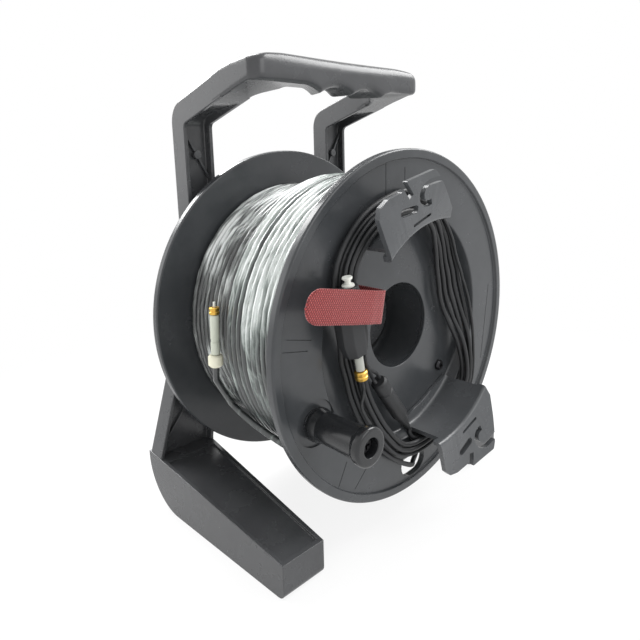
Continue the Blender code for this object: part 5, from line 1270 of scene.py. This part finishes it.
out, across = Vector(polar(1, STRAP_ANGLE)), Vector(polar(1, STRAP_ANGLE + math.pi / 2))
run_at = [0.0]
for near, far in zip(strap_route, strap_route[1:]):
    run_at.append(run_at[-1] + (far - near).length)


def half_width(left):
    """Half the strap's width at a distance from its free end, which has round corners."""
    rounded = math.sqrt(max(STRAP_CORNER ** 2 - max(STRAP_CORNER - left, 0.0) ** 2, 0.0))
    return STRAP_W / 2 - STRAP_CORNER + rounded


strap = bmesh.new()
grid = bmesh.ops.create_grid(strap, x_segments=strap_steps, y_segments=STRAP_CELLS, size=0.5)["verts"]
uv_layer = strap.loops.layers.uv.new("cloth")
flat_place = {}
for vert in grid:
    i = round((vert.co.x + 0.5) * strap_steps)
    share, left, spot = vert.co.y * 2, strap_length - run_at[i], strap_route[i]
    flat_place[vert] = (run_at[i], share * half_width(left))
    sidewise = share * half_width(left) - STRAP_RISE
    lift = WAVE_H * (1 + share * math.sin(run_at[i] / WAVE_L)) if left < WAVY_END_L else 0.0
    vert.co = (out.x * spot.x + across.x * sidewise, spot.y - lift, out.y * spot.x + across.y * sidewise)
for face in strap.faces:
    for loop in face.loops:
        loop[uv_layer].uv = flat_place[loop.vert]
red_strap = keep(strap, "red_strap", strap_fabric, ["tie_strap"], sharp=60, recalc=False)
thick = red_strap.modifiers.new("cloth_thickness", "SOLIDIFY")
thick.thickness, thick.offset = STRAP_T, 1.0
print("strap", round(strap_length / MM), "mm long")

# %% [markdown]
# ## Hidden CAD pieces
# The axle, its screws, the rear bush and the thrust washer are deep inside the drum. Their CAD shapes are right, so
# they only get the finishes made above.

# %% Finishes for hidden pieces
hidden = {"axle_tube": zinc_steel, "thrust_washer": zinc_steel, "bush_rear": bearing_plastic}
hidden.update({f"axle_screw_{i}": zinc_steel for i in range(1, 5)})
for node, material in hidden.items():
    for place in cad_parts[node].material_slots:
        place.material = material
print(len(hidden), "hidden pieces finished")

# %% [markdown]
# ## Floor and light
# The photograph has a white ground and soft light, most of it from above and behind. A white floor and a white
# world give the ground. The world is dimmer for everything but the camera and mirror rays, and four large lamps do
# the rest.


# %% Floor
def seen_directly(add):
    """One for the camera's rays and for mirror rays, and zero for the rest."""
    ray = add("LightPath", {})
    mirror = calc(add, "MAXIMUM", ray["Is Glossy Ray"], ray["Is Transmission Ray"])
    return calc(add, "MAXIMUM", ray["Is Camera Ray"], mirror)


def white_ground(name):
    """Matt white floor that glows for the camera: a little near the object, where its shadow stays, fully far out."""
    material, shader, add = new_finish(name)
    away = add("VectorMath", {0: object_place(add)}, operation="LENGTH")["Value"]
    share = calc(add, "MULTIPLY", seen_directly(add), mapped(add, away, 0.12, 0.5, 0.86, 1.0))
    feed(shader, {"Base Color": (0.9, 0.9, 0.9, 1.0), "Roughness": 0.9, "Specular IOR Level": 0.0})
    mixed = add("MixShader", {0: share, 1: shader.outputs["BSDF"], 2: add("Emission", {})["Emission"]})
    feed(material.node_tree.nodes["Material Output"], {"Surface": mixed["Shader"]})
    return material


ground = bmesh.new()
bmesh.ops.create_grid(ground, x_segments=1, y_segments=1, size=6.0)
floor_mesh = bpy.data.meshes.new("floor")
ground.to_mesh(floor_mesh)
ground.free()
floor_mesh.materials.append(white_ground("white_ground"))
floor = placed("floor", floor_mesh)
print("floor laid")

# %% World and lamps
studio = bpy.data.worlds.new("studio")
bpy.context.scene.world = studio
studio.use_nodes = True
add_to_sky = node_adder(studio.node_tree)
sky_strength = calc(add_to_sky, "MULTIPLY_ADD", seen_directly(add_to_sky), 0.25, 0.75)
feed(studio.node_tree.nodes["Background"], {"Strength": sky_strength, "Color": (1, 1, 1, 1)})


def softbox(name, spot, target, size, power):
    lamp = bpy.data.lights.new(name, "AREA")
    lamp.shape, lamp.size, lamp.energy = "SQUARE", size, power
    holder = placed(name, lamp)
    holder.location = spot
    holder.rotation_euler = (Vector(target) - Vector(spot)).to_track_quat("-Z", "Y").to_euler()


softbox("back_box", (0, 0.85, 0.95), (0, 0, 0.18), 0.8, 24)
softbox("right_box", (0.8, -0.35, 1.0), (0, 0, 0.28), 0.7, 13)
softbox("left_box", (-0.75, 0.95, 0.5), (-0.05, 0.1, 0.2), 0.6, 1.4)
softbox("front_box", (0.25, -1.3, 0.8), (0, 0, 0.15), 0.9, 5)
print("four lamps set")
